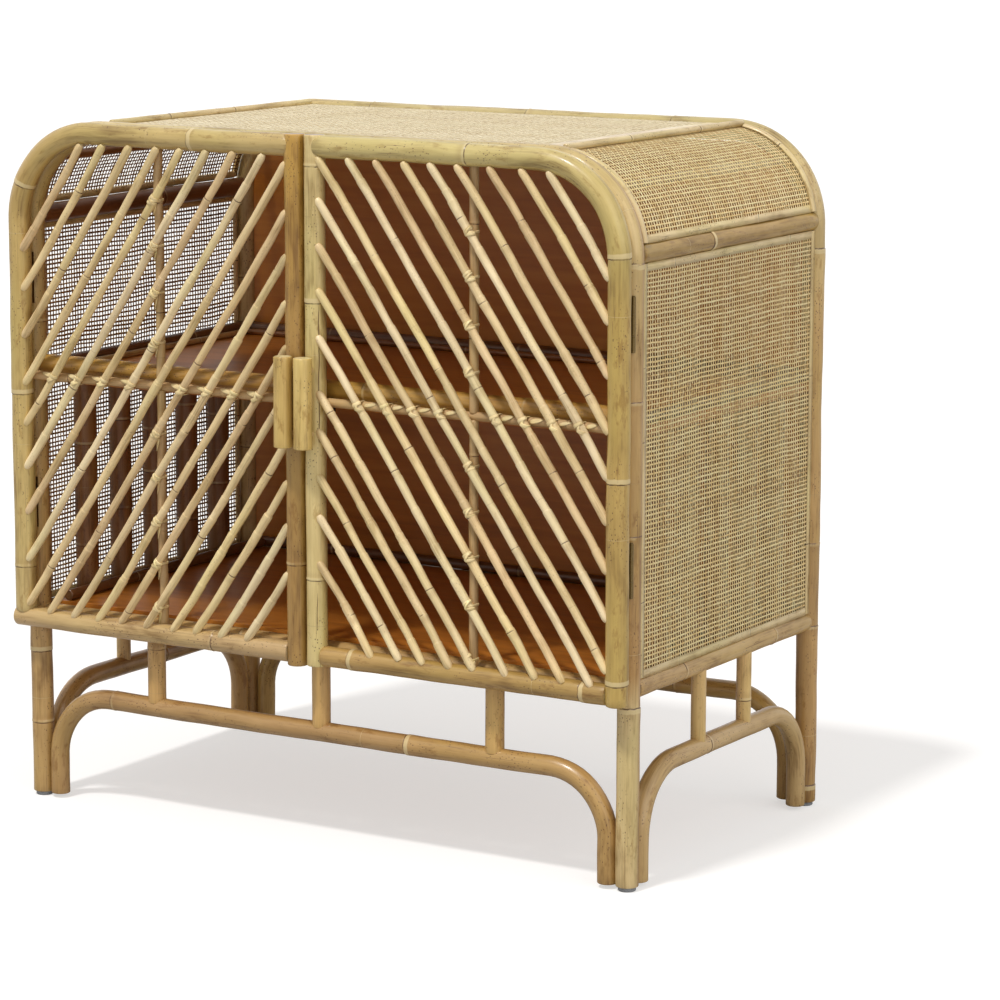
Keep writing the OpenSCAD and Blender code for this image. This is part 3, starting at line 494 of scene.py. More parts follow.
def sweep(path, r, rings=(), joints=(), steps=(), seed=0, sides=24, step=9.0, wobble=0.5,
          vary=0.012, swell=0.45, end_round=1.2, point=0.0, section=None, paint=STRAW, inner=None,
          cut=CUT, splits=()):
    """A pole along a path, with raised growth rings, joints where the bark is scarred and stepped, small
    steps in its thickness, and slight unevenness. The shaded-side argument is a direction and a darker
    colour painted as shade on the side that faces it, point is the length over which the ends are cut slim,
    and
    splits are dark cracks along it: start, end, turn round the pole in degrees, and width. Gives vertices,
    quads, caps and what its material reads."""
    rng = random.Random(seed * 7919 + 13)
    stop = path.length
    marks = sorted([*rings, *joints])
    stations = set(np.round(np.linspace(0, stop, max(3, int(stop / step) + 1)), 3))
    for mark in [*marks, *steps]:
        stations |= {round(mark + d, 3) for d in RING_STEPS if 0 < mark + d < stop}
    for d in (0.4, 0.8, end_round, point / 2, point):
        if d > 0:
            stations |= {round(d, 3), round(stop - d, 3)}
    s = np.array(sorted(x for x in stations if 0 <= x <= stop))
    s = s[np.concatenate([[True], np.diff(s) > 0.12])]
    points, tangents = path.at(s)
    side = path.side
    other = np.cross(tangents, side)
    fade = np.clip(np.minimum(s, stop - s) / 40, 0, 1)
    shift_a = wave(seed * 3 + 1, total=wobble)(s) * fade
    shift_b = wave(seed * 3 + 2, total=wobble)(s) * fade
    points = points + side * shift_a[:, None] + other * shift_b[:, None]
    radius = r * (1 + wave(seed * 5 + 3, (420, 160, 48), vary)(s))
    for mark in rings:
        d = s - mark
        radius += swell * np.exp(-(d / 2.0) ** 2) + 0.25 * swell * np.exp(-((d - 5) / 5.0) ** 2)
        radius -= 0.3 * np.exp(-((d + 2.1) / 0.55) ** 2)
    for mark in joints:
        d = s - mark
        radius -= 0.5 * np.exp(-(d / 0.5) ** 2)
        radius += np.where(d > 0, 0.45, -0.15) * np.exp(-(d / 22) ** 2)
    for mark in steps:
        d = s - mark
        radius += np.where(d > 0, 0.4, -0.18) * np.exp(-(d / 30) ** 2)
    edge = np.minimum(s, stop - s)
    radius = radius - end_round * np.clip(1 - edge / end_round, 0, 1) ** 2
    if point:
        radius = radius * (0.6 + 0.4 * np.clip(edge / point, 0, 1) ** 0.7)
    angles = np.arange(sides) * 2 * math.pi / sides
    oval = 1 + 0.012 * np.cos(2 * angles + rng.uniform(0, 6))
    ca, sa = section or (np.cos(angles) * oval, np.sin(angles) * oval)
    n = len(s)
    k = len(ca)
    out = side * ca[:, None] + other[:, None, :] * sa[:, None]
    verts = points[:, None, :] + out * radius[:, None, None]
    shade = np.full((n, 1), 1 + rng.gauss(0, 0.03))
    for mark in marks:
        shade[s > mark] = 1 + rng.gauss(0, 0.05)
    colours = np.repeat((paint_at(paint, s) * shade)[:, None, :], k, 1)
    # Painted shade: faces turned towards the given direction are blended to the given darker colour.
    if inner is not None:
        shade_share = np.clip(((out * np.array(inner[0], float)).sum(2) + 0.25) / 0.6, 0, 1)[..., None]
        colours = colours * (1 - shade_share) + np.array(srgb(*inner[1])[:3]) * shade_share
    shift = rng.uniform(0, 40)
    flat = np.stack([np.repeat(s, k) / 1000 + shift, np.tile(ca, n) * r / 1000,
                     np.tile(sa, n) * r / 1000], 1)
    ring = np.arange(k)
    ahead = np.roll(ring, -1)
    i = np.arange(n - 1)[:, None] * k
    pole = Batch()
    pole.add(verts.reshape(-1, 3), wrap(i, i + k, k), [],
             {"flat": flat, "paint": colours.reshape(-1, 3), "ring": np.repeat(nearest(s, rings), k),
              "joint": np.repeat(nearest(s, joints), k)})

    # Cut ends, each a rim round a flat middle
    far = np.full(2 * k, FAR)
    cut_paint = np.repeat(np.outer((0.72, 1.0), srgb(*cut)[:3]), k, 0)
    for row, back in ((0, True), (n - 1, False)):
        rim = [ring, ring + k, ahead + k, ahead] if back else [ring, ahead, ahead + k, ring + k]
        middle = (ring + k)[::-1] if back else ring + k
        ends = [points[row] + (verts[row] - points[row]) * share for share in (1.0, 0.7)]
        flats = [flat[row * k:(row + 1) * k] * [1, share, share] for share in (1.0, 0.7)]
        pole.add(np.concatenate(ends), np.stack(rim, 1), [middle],
                 {"flat": np.concatenate(flats), "paint": cut_paint, "ring": far, "joint": far})
    for first, last, turn, width in splits:
        on = (s >= first) & (s <= last)
        swing = np.radians(turn) + wave(int(first), (70, 33, 15), 0.05)(s[on])
        outward = side * np.cos(swing)[:, None] + other[on] * np.sin(swing)[:, None]
        line = points[on] + outward * (radius[on, None] - 0.02)
        widths = width * np.clip(np.minimum(s[on] - first, last - s[on]) / 12, 0.12, 1)
        pole.add(*ribbon(line, np.cross(tangents[on], outward), outward, widths, 0.3, int(first), CRACK))
    return pole.whole()


# Frame poles

def arch_path(half_w, rise, r, plane, offset):
    """Leg, bend, bar, bend, leg, from the negative end. plane is x for front and back, y for the sides."""
    def spot(u, z):
        return np.array([u, offset, z]) if plane == "x" else np.array([offset, u, z])
    u = spot(1, 0) - spot(0, 0)
    up = np.array([0, 0, 1.0])
    p = Path([0, 1, 0] if plane == "x" else [1, 0, 0])
    p.line(spot(-half_w, 0), spot(-half_w, rise - r))
    p.arc(spot(r - half_w, rise - r), -u * r, up * r)
    p.line(spot(r - half_w, rise), spot(half_w - r, rise))
    p.arc(spot(half_w - r, rise - r), up * r, u * r)
    p.line(spot(half_w, rise - r), spot(half_w, 0))
    return p


def pole_piece(name, path, r, body="cabinet", replaced=(), slot="pole", material=MAT_POLE, **kwargs):
    build(name, *sweep(path, r, **kwargs), body, replaced, slot, material)


def node_pole(name, path, r, **kwargs):
    """A pole named after the node whose place it takes."""
    pole_piece(name + "_pole", path, r, replaced=[name], **kwargs)


LEG = TOP_Z - BEND_R
QUARTER = BEND_R * math.pi / 2
BAR = 2 * BEND_X
ARCH = 2 * LEG + 2 * QUARTER + BAR


def on_bar(x):
    """Distance along a frame arch to a place on its bar."""
    return LEG + QUARTER + BEND_X + x


def on_right_leg(z):
    """Distance along a frame arch to a height on its right leg."""
    return ARCH - z


front = arch_path(POST_X, TOP_Z, BEND_R, "x", -POST_Y)
# The front arch's side facing the cabinet's inside is painted warm brown as painted shade.
pole_piece("front_arch_pole", front, POLE_R, replaced=["front_frame"], seed=1,
           rings=[91, 455, 600, on_bar(-162), on_bar(82), on_right_leg(564), on_right_leg(410)],
           joints=[181, on_right_leg(722), on_right_leg(212)], inner=((0, 1, 0), (168, 128, 78)),
           paint=[(0, TAN), (230, TAN), (LEG, STRAW), (on_bar(-200), PALE_STRAW), (on_bar(200), PALE_STRAW),
                  (on_right_leg(LEG), STRAW), (on_right_leg(560), TAN), (on_right_leg(250), BROWN),
                  (on_right_leg(212), (212, 186, 132)), (ARCH, (212, 186, 132))])
back = arch_path(POST_X, TOP_Z, BEND_R, "x", POST_Y)
pole_piece("back_arch_pole", back, POLE_R, replaced=["back_frame"], seed=2,
           rings=[120, 380, 610, on_bar(-217), on_bar(18), on_bar(228), on_right_leg(329),
                  on_right_leg(224)], joints=[on_right_leg(697), on_right_leg(22)],
           paint=[(0, TAN), (LEG, STRAW), (on_bar(-200), PALE_STRAW), (on_bar(300), PALE_STRAW),
                  (on_right_leg(680), STRAW), (on_right_leg(600), TAN), (ARCH, BROWN)])

for name, y, z, half, seed, rings, paint in (
        ("front_bottom_rail", -POST_Y, LOW_RAIL_Z, 412, 3, [300, 520], TAN),
        ("back_bottom_rail", POST_Y, LOW_RAIL_Z, 412, 4, [110, 330, 700], TAN),
        ("front_shelf_rail", -POST_Y, SHELF_RAIL_Z, 411, 7, [479, 697], (184, 141, 66))):
    node_pole(name, rod((-half, y, z), (half, y, z)), RAIL_R, seed=seed, rings=rings, paint=paint)

INNER_ARC = (CANE_R - CANE_HALF - SHOULDER_RAIL_R - FIT) * math.sqrt(0.5)
for s, word in SIDES:
    x = s * POST_X
    # The side rails' faces towards the cabinet's inside are painted dark brown as painted shade.
    node_pole(word + "_bottom_rail", rod((x, -218, LOW_RAIL_Z), (x, 218, LOW_RAIL_Z)), RAIL_R, seed=5 + s,
              rings=[180] if s < 0 else [110, 340], paint=(185, 150, 93), inner=((-s, 0, 0), (130, 84, 48)))
    node_pole(word + "_top_rail", rod((x, -218, TOP_RAIL_Z), (x, 218, TOP_RAIL_Z)), RAIL_R, seed=8 + s,
              rings=[250] if s < 0 else [], joints=[] if s < 0 else [164], paint=(164, 130, 62),
              inner=((-s, 0, 0), (120, 74, 42)))
    x = s * (BEND_X + INNER_ARC)
    z = BEND_Z + INNER_ARC
    # The shoulder rails inside the shoulder cane are painted dark brown as painted shade.
    node_pole(word + "_shoulder_rail", rod((x, -217, z), (x, 217, z)), SHOULDER_RAIL_R, seed=11 + s,
              rings=[130, 300], sides=16, paint=(150, 100, 58))

# Base arches and struts
LOW_LEG = BASE_RISE - BASE_BEND
LOW_QUARTER = BASE_BEND * math.pi / 2
for name, plane, half, offset, rings, joints, paint, seed in (
        ("base_front_arch", "x", BASE_X, -POST_Y, [-307], [123], (178, 140, 86), 14),
        ("base_back_arch", "x", BASE_X, POST_Y, [-129, 241], [], (184, 148, 82), 15),
        ("base_left_arch", "y", BASE_Y, -POST_X, [25], [], BROWN, 16),
        ("base_right_arch", "y", BASE_Y, POST_X, [-42], [], (188, 156, 102), 17)):
    middle = LOW_LEG + LOW_QUARTER + half - BASE_BEND
    node_pole(name, arch_path(half, BASE_RISE, BASE_BEND, plane, offset), BASE_R, seed=seed, paint=paint,
              rings=[middle + x for x in rings], joints=[middle + x for x in joints])

struts = Batch()
spots = [(x, y, 11.4, (204, 163, 99)) for y in (-POST_Y, POST_Y) for x in (-244, 0, 244)]
spots += [(x, y, 9.2, (214, 178, 117)) for x in (-POST_X, POST_X) for y in (-58, 58)]
for seed, (x, y, r, paint) in enumerate(spots, 21):
    struts.pole(rod((x, y, BASE_RISE + 6), (x, y, LOW_RAIL_Z - 6)), r, seed=seed, wobble=0.2,
                rings=[30 + 40 * (seed % 2)] if seed % 3 == 0 else [], paint=paint)
struts.build("base_strut_poles", replaced=["base_struts"])

# Shelf posts, painted dark brown as painted shade of the cabinet's inside
for s, word in SIDES:
    posts = Batch()
    x = s * (INNER_FACE - SHELF_POST_R - RING_FIT)
    for k in range(5):
        y = (k - 2) * SHELF_POST_PITCH
        posts.pole(rod((x, y, FLOOR_Z + SEAT), (x, y, SHELF_Z - BOARD_T - SEAT)), SHELF_POST_R - 0.1,
                   seed=40 + k + 5 * s, wobble=0.2, rings=[60 + 37 * (k % 3), 190 + 22 * (k % 2)],
                   paint=(142, 96, 50))
    posts.build(word + "_shelf_post_poles", replaced=[word + "_shelf_posts"])


# Round strips along the backs and sides of the boards

def board_strip(start, end, board_z, r, sides=16, **kwargs):
    """A round strip that lies on a board, between two places given by x and y."""
    z = board_z + r + SEAT
    return sweep(rod((*start, z), (*end, z)), r - 0.1, sides=sides, wobble=0.1, swell=0.15, **kwargs)


half_x = POST_X - POLE_R - RING_FIT - FIT
half_y = POST_Y - POLE_R - RING_FIT - FIT
back_strips = Batch()
for z, r in ((FLOOR_Z, LOW_STRIP_R), (SHELF_Z, SHELF_STRIP_R)):
    y = PANEL_FACE - r - SEAT
    back_strips.add(*board_strip((-half_x, y), (half_x, y), z, r, seed=50 + int(r),
                                 rings=[130, 420, 660], paint=UMBER))
back_strips.build("back_strip_poles", replaced=["back_strips"])

board_strips = Batch()
low_x = INNER_FACE - 2 * SHELF_POST_R - 2 * RING_FIT - LOW_STRIP_R
side_x = INNER_FACE - SHELF_STRIP_R - SEAT
pale_x = side_x - SHELF_STRIP_R - THIN_STRIP_R - SEAT
pale_y = PANEL_FACE - 2 * SHELF_STRIP_R - THIN_STRIP_R - 2 * SEAT
for s in (-1, 1):
    for x, z, r, end, paint in (
            (low_x, FLOOR_Z, LOW_STRIP_R, PANEL_FACE - 2 * LOW_STRIP_R - 2 * SEAT, UMBER),
            (side_x, SHELF_Z, SHELF_STRIP_R, half_y, UMBER),
            (pale_x, SHELF_Z, THIN_STRIP_R, pale_y - THIN_STRIP_R - SEAT, (196, 162, 108))):
        board_strips.add(*board_strip((s * x, -half_y), (s * x, end), z, r, seed=60 + int(r) + s,
                                      rings=[140, 310], paint=paint, cut=(112, 76, 44)))
board_strips.add(*board_strip((-pale_x - THIN_STRIP_R, pale_y), (pale_x + THIN_STRIP_R, pale_y), SHELF_Z,
                              THIN_STRIP_R, sides=14, seed=70, rings=[90, 350, 610], paint=(140, 92, 52)))
board_strips.build("board_strip_poles", replaced=["board_strips"])


# Half-round strips round the cane

half_angles = np.linspace(-math.pi / 2, math.pi / 2, 10)
HALF_ROUND = (np.sin(half_angles) * 1.2, np.cos(half_angles))


def strip(path, seed, rings):
    return sweep(path, BEAD_R, rings=rings, seed=seed, wobble=0.12, vary=0.02, swell=0.28, step=8,
                 section=HALF_ROUND, end_round=0.5, paint=(212, 188, 138))


def ring_room(r, off):
    """Room that a ringed pole takes from a sheet at its distance off the pole's middle."""
    return math.sqrt((r + RING_H) ** 2 - off ** 2) + SEAT


sheet_in = CANE_OUT - CANE_HALF
SHEET_OUT = POST_X + CANE_OUT
SIDE_Y = POST_Y - ring_room(POLE_R, sheet_in)
SIDE_LOW = LOW_RAIL_Z + ring_room(RAIL_R, sheet_in)
SIDE_HIGH = TOP_RAIL_Z - ring_room(RAIL_R, sheet_in)
CANE_A = math.radians(8.155)
BEAD_FACE = CANE_HALF + SEAT

for s, word in SIDES:
    out = Batch()
    face = s * (SHEET_OUT + BEAD_FACE)
    for n, (y, rings) in enumerate(((-1, [120, 205, 390]), (1, [90, 300])), 1):
        first, last = (SIDE_LOW, SIDE_HIGH) if s * y > 0 else (SIDE_HIGH, SIDE_LOW)
        path = Path([0, y, 0])
        path.line((face, y * (SIDE_Y - BEAD_R), first), (face, y * (SIDE_Y - BEAD_R), last))
        out.add(*strip(path, 60 + n + 4 * s, rings))
    end = SIDE_Y - 2 * BEAD_R - FIT
    for n, (z, rings) in enumerate(((SIDE_LOW + BEAD_R, [150, 330]), (SIDE_HIGH - BEAD_R, [60, 350])), 3):
        path = Path([0, 0, s]).line((face, end, z), (face, -end, z))
        out.add(*strip(path, 60 + n + 4 * s, rings))
    out.build(word + "_side_strips", replaced=[word + "_side_beading"])

    out = Batch()
    face = CANE_R + BEAD_FACE
    end_a = math.pi / 2 - (EDGE_RUN + EDGE_POLE_R + 1) / face
    first = np.array([s * math.cos(CANE_A), 0, math.sin(CANE_A)]) * face
    second = np.array([-s * math.sin(CANE_A), 0, math.cos(CANE_A)]) * face
    for n, (y, rings) in enumerate(((-1, [60]), (1, [95])), 5):
        path = Path([0, -s, 0])
        path.arc((s * BEND_X, y * (SIDE_Y - BEAD_R), BEND_Z), first, second, end_a - CANE_A)
        out.add(*strip(path, 70 + n + 4 * s, rings))
    a = CANE_A + BEAD_R / face
    spot = np.array([s * (BEND_X + face * math.cos(a)), 0, BEND_Z + face * math.sin(a)])
    rise = np.array([-s * math.sin(a), 0, math.cos(a)])
    reach = np.array([0, end, 0])
    out.add(*strip(Path(rise * s).line(spot + reach, spot - reach), 80 + s, [140, 290]))
    out.build(word + "_shoulder_strips", replaced=[word + "_shoulder_beading"])


# Woven cane

def weave(name, across, along, spot, out_of, pitch, width, thick, lift, seed, drift, **kwargs):
    """Plain weave over a patch. across and along are its two sizes in millimetres. spot gives the points of
    the sheet at arrays of two distances, and out_of the directions out of it."""
    rng = np.random.default_rng(seed)

    def lines(size, step):
        count = int(round(size / step))
        places = np.cumsum(step * rng.uniform(0.9, 1.1, count + 1))
        return (places - places[0]) / (places[-1] - places[0]) * (size - step * 0.5) + step * 0.25

    us = lines(across, pitch[0])
    vs = lines(along, pitch[1])
    uu, vv = np.meshgrid(us, vs)

    def drift_of(a, b, size_b, k):
        edge = np.clip(np.minimum(b, size_b - b) / 40, 0, 1)
        fn = wave(seed * 11 + k, (190, 97, 53), drift)
        gn = wave(seed * 11 + k + 50, (260, 120, 70), 1.0)
        return (fn(a) * (1 + 0.6 * gn(b)) + rng.normal(0, 0.16, a.shape)) * edge

    u = uu + drift_of(vv, uu, across, 1)
    v = vv + drift_of(uu, vv, along, 2)
    over = 1.0 - 2 * (np.indices(u.shape).sum(0) % 2)

    def strands(rows, cols, sign, w, swap, pale):
        """Ribbons that run along the second axis of the given grids."""
        n, k = rows.shape
        pair = (rows.ravel(), cols.ravel()) if swap else (cols.ravel(), rows.ravel())
        centre = spot(*pair).reshape(n, k, 3)
        normal = out_of(*pair).reshape(n, k, 3)
        centre = centre + normal * (sign * lift)[..., None]
        ahead = np.gradient(centre, axis=1)
        ahead /= np.linalg.norm(ahead, axis=2, keepdims=True)
        wide = np.cross(normal, ahead)
        ws = w * rng.uniform(0.84, 1.14, (n, 1)) * rng.uniform(0.93, 1.07, (n, k))
        aside = wide * (ws / 2)[..., None]
        above = normal * (thick / 2)
        verts = np.stack([centre + aside, centre + above, centre - aside, centre - above], 2).reshape(-1, 3)
        i = (np.arange(n)[:, None, None] * k + np.arange(k - 1)[None, :, None]) * 4
        ends = np.arange(n)[:, None] * k * 4
        fans = np.stack([ends + [3, 2, 1, 0], ends + (k - 1) * 4 + [0, 1, 2, 3]], 1).reshape(-1, 4)
        tones = pale + rng.normal(0, 0.34, (n, 1)) + rng.normal(0, 0.15, (n, k))
        tones = tones + np.where(rng.random((n, 1)) > 0.93, 0.9, 0)
        shift = rng.uniform(0, 30, (n, 1))
        flat = np.stack([cols / 1000 + shift, rows / 1000, np.zeros_like(rows)], 2)
        flat = np.repeat(flat[:, :, None, :], 4, 2).reshape(-1, 3)
        # Painted light: each strand's outer face is painted paler as a highlight and its inner face much
        # darker as shade.
        tones = tones[..., None] + [0.0, 0.7, 0.0, -4.0]
        return verts, wrap(i, i + 4, 4), fans, {"flat": flat, "tone": tones.ravel()}

    batch = Batch()
    batch.add(*strands(v, u, over, width[0], False, 0.0))
    # These strands are given a paler tone than the others, as painted light.
    batch.add(*strands(u.T, v.T, -over.T, width[1], True, 0.6))
    batch.build(name, **kwargs)


def one_way(direction):
    """The same direction at every place, for a flat sheet."""
    return lambda u, v: np.tile(np.array([direction], float), (len(u), 1))


WEAVE_PITCH = (5.65, 5.35)
WEAVE_WIDTH = (2.45, 2.4)

for s, word in SIDES:
    def flat_spot(u, v, s=s):
        return np.stack([np.full_like(u, s * SHEET_OUT), u - SIDE_Y, v + SIDE_LOW], 1)

    weave(word + "_side_weave", 2 * SIDE_Y, SIDE_HIGH - SIDE_LOW, flat_spot, one_way((s, 0, 0)),
          WEAVE_PITCH, WEAVE_WIDTH, 0.42, 0.27, 100 + s, 0.8, material=MAT_CANE,
          replaced=[word + "_side_cane"], slot="cane")

    def round_spot(u, v, s=s):
        a = CANE_A + v / CANE_R
        return np.stack([s * (BEND_X + CANE_R * np.cos(a)), u - SIDE_Y, BEND_Z + CANE_R * np.sin(a)], 1)

    def round_out(u, v, s=s):
        a = CANE_A + v / CANE_R
        return np.stack([s * np.cos(a), np.zeros_like(a), np.sin(a)], 1)

    weave(word + "_shoulder_weave", 2 * SIDE_Y, CANE_R * (math.pi / 2 - CANE_A), round_spot, round_out,
          WEAVE_PITCH, (2.0, 2.9), 0.34, 0.22, 110 + s, 0.8, material=MAT_CANE,
          replaced=[word + "_shoulder_cane"], slot="cane")

BOARD_TOP = FRAME_H - MAT_DROP - MAT_THICK
TOP_HALF_Y = POST_Y - ring_room(POLE_R, BOARD_TOP - TOP_Z)
EDGE_X = BEND_X - 1.5
STRIP_W = 17.0
mat_left = -(EDGE_X + EDGE_POLE_R + FIT)
mat_right = BEND_X - 2 * STRIP_W - 2 * FIT


def mat_spot(u, v):
    return np.stack([u + mat_left, v - TOP_HALF_Y, np.full_like(u, BOARD_TOP + 0.85)], 1)


weave("top_weave", mat_right - mat_left, 2 * TOP_HALF_Y, mat_spot, one_way((0, 0, 1)), (5.6, 5.4),
      (5.2, 5.0), 0.6, 0.3, 120, 1.0, material=MAT_MAT, replaced=["top_mat"], slot="mat")

# Edge poles and flat strips of the top
edges = Batch()
lie = CANE_R + BEAD_FACE
reach = POST_Y - ring_room(POLE_R, CANE_OUT + BEAD_FACE)
tilt = math.asin(EDGE_RUN / lie)
turned_x = BEND_X + (lie + 3) * math.sin(tilt)
turned_z = BEND_Z + (lie + 3) * math.cos(tilt)
for x, z, rings, seed in ((-EDGE_X, BEND_Z + lie + 3, [120, 260], 90),
                          (turned_x, turned_z, [150, 320], 91)):
    edges.pole(rod((x, -reach, z), (x, reach, z)), EDGE_POLE_R - 0.1, seed=seed, wobble=0.3, rings=rings,
               sides=14, swell=0.3, paint=(206, 182, 130))
half_w = (STRIP_W - FIT) / 2
corner_x = np.array([1.0, 1.0, 0.95, 0.0, -0.95, -1.0, -1.0, -0.95, 0.0, 0.95])
corner_y = np.array([-0.4, 0.4, 0.8, 0.8, 0.8, 0.4, -0.4, -0.8, -0.8, -0.8]) / half_w
z = BOARD_TOP + MAT_THICK / 2
for k in (0, 1):
    x = BEND_X - 2 * STRIP_W - FIT + k * (STRIP_W + FIT) + half_w
    edges.pole(rod((x, -TOP_HALF_Y, z), (x, TOP_HALF_Y, z), side=(1, 0, 0)), half_w, seed=92 + k,
               wobble=0.0, vary=0.0, rings=[95 + 60 * k, 290 + 40 * k], swell=0.03, end_round=0.1,
               section=(corner_x, corner_y), paint=(220, 198, 160))
edges.build("top_edge_strips", replaced=["top_edge_poles"])


# Doors

def stick_at(top, x):
    """Height of a stick at a distance from the middle, from its height at the meeting stile's edge."""
    return top - STICK_M * (x - STILE_IN_X)


def bend_cross(top, r, way):
    """Where a stick crosses a circle round the shoulder bend's centre, above (-1) or below (1)."""
    q = stick_at(top, BEND_X) - BEND_Z
    n = 1 + STICK_M ** 2
    under = max(0.0, STICK_M ** 2 * q * q - n * (q * q - r * r))
    return BEND_X + (STICK_M * q + way * math.sqrt(under)) / n


LAP = 5.0
TOP_LAP = 2.0


def stick_ends(top):
    """Both ends of a stick, a little way over the poles that it is fixed to."""
    in_x = STILE_IN_X - LAP
    out_x = POST_X - POLE_R + LAP
    x0 = STILE_IN_X + (top - (TOP_Z - POLE_R + TOP_LAP)) / STICK_M
    if x0 <= in_x:
        x0 = in_x
    elif x0 > BEND_X:
        x0 = bend_cross(top, BEND_R - POLE_R + TOP_LAP, -1)
    x1 = STILE_IN_X + (top - (DOOR_RAIL_Z + DOOR_POLE_R - LAP)) / STICK_M
    if x1 > out_x:
        x1 = out_x if stick_at(top, out_x) <= BEND_Z else bend_cross(top, BEND_R - POLE_R + LAP, 1)
    return x0, x1


Y_AXIS = np.array([0, 1.0, 0])
Z_AXIS = np.array([0, 0, 1.0])


def lashing_loop(centre, wide, across, seed):
    """A flat strand wound once round the stick and the thin rod behind it."""
    r = PEELED_R + 0.9
    front = PEELED_Y - PEELED_R - 0.35 + r
    back = THIN_Y + THIN_R + 0.35 - r
    t = np.linspace(-math.pi / 2, math.pi / 2, 14)
    u = np.concatenate([np.sin(t), np.sin(t + math.pi)]) * r
    y = np.concatenate([front - np.cos(t) * r, back - np.cos(t + math.pi) * r])
    points = centre + np.outer(u, across) + np.outer(y, Y_AXIS)
    ahead = np.roll(points, -1, 0) - np.roll(points, 1, 0)
    ahead /= np.linalg.norm(ahead, axis=1, keepdims=True)
    outward = np.cross(wide, ahead)
    outward *= np.sign(((points - points.mean(0)) * outward).sum(1, keepdims=True))
    return ribbon(points, wide, outward, 3.4, 0.8, seed, closed=True)


def lashing_band(centre, wide, across, layer, width, seed):
    """A flat strand over the front of the stick, its ends tucked in beside it."""
    r = PEELED_R + layer
    t = np.linspace(-1.75, 1.75, 14)
    outward = np.outer(np.sin(t), across) - np.outer(np.cos(t), Y_AXIS)
    points = centre + Y_AXIS * PEELED_Y + outward * r
    return ribbon(points, wide, outward, width, 0.8, seed)


def lashing_leaf(start, along, sideways, length, width, seed):
    """The slim end of a strand that lies on the thin rod beside a crossing."""
    t = np.linspace(0, 1, 9)
    turn = np.radians(8 + 38 * t)
    r = THIN_R + 0.45
    outward = np.outer(np.sin(turn), sideways) - np.outer(np.cos(turn), Y_AXIS)
    points = start + np.outer(length * t, along) + Y_AXIS * THIN_Y + outward * r
    wide = np.cross(along, outward)
    widths = width * np.sqrt(np.clip(np.sin(math.pi * (0.12 + 0.86 * t)), 0.01, 1))
    return ribbon(points, wide, outward, widths, 0.9, seed)


# Every stick's height off the even spacing, in millimetres
STICK_OFF = {-1: (0, 2, 1, -5, -1, -1, -4, -4, -5, -4, -3, 3, 5, 5, 1, 5, 8, 2),
             1: (0, 2, -5, -6, -14, -4, -2, -4, -5, -11, -5, -5, -4, -7, -9, -1, 5, 1)}
STICK_FIRST = {-1: 91.0, 1: 107.5}
THIN_X = {-1: 216.0, 1: 228.0}
STICK_PAINTS = ((232, 207, 160), (235, 213, 170), (228, 202, 153), (231, 206, 154), (223, 194, 147))
# Angle, place along the stick and width of every band of a lashing
RAIL_TURNS = ((58, -4.0, 4.6), (112, 3.0, 5.2))
POLE_TURNS = ((50, -3.5, 4.4), (84, 3.5, 4.0), (22, 0, 3.6))
STICK_LOOK = {"material": MAT_STICK, "slot": "stick"}
END_OUT = 3.2

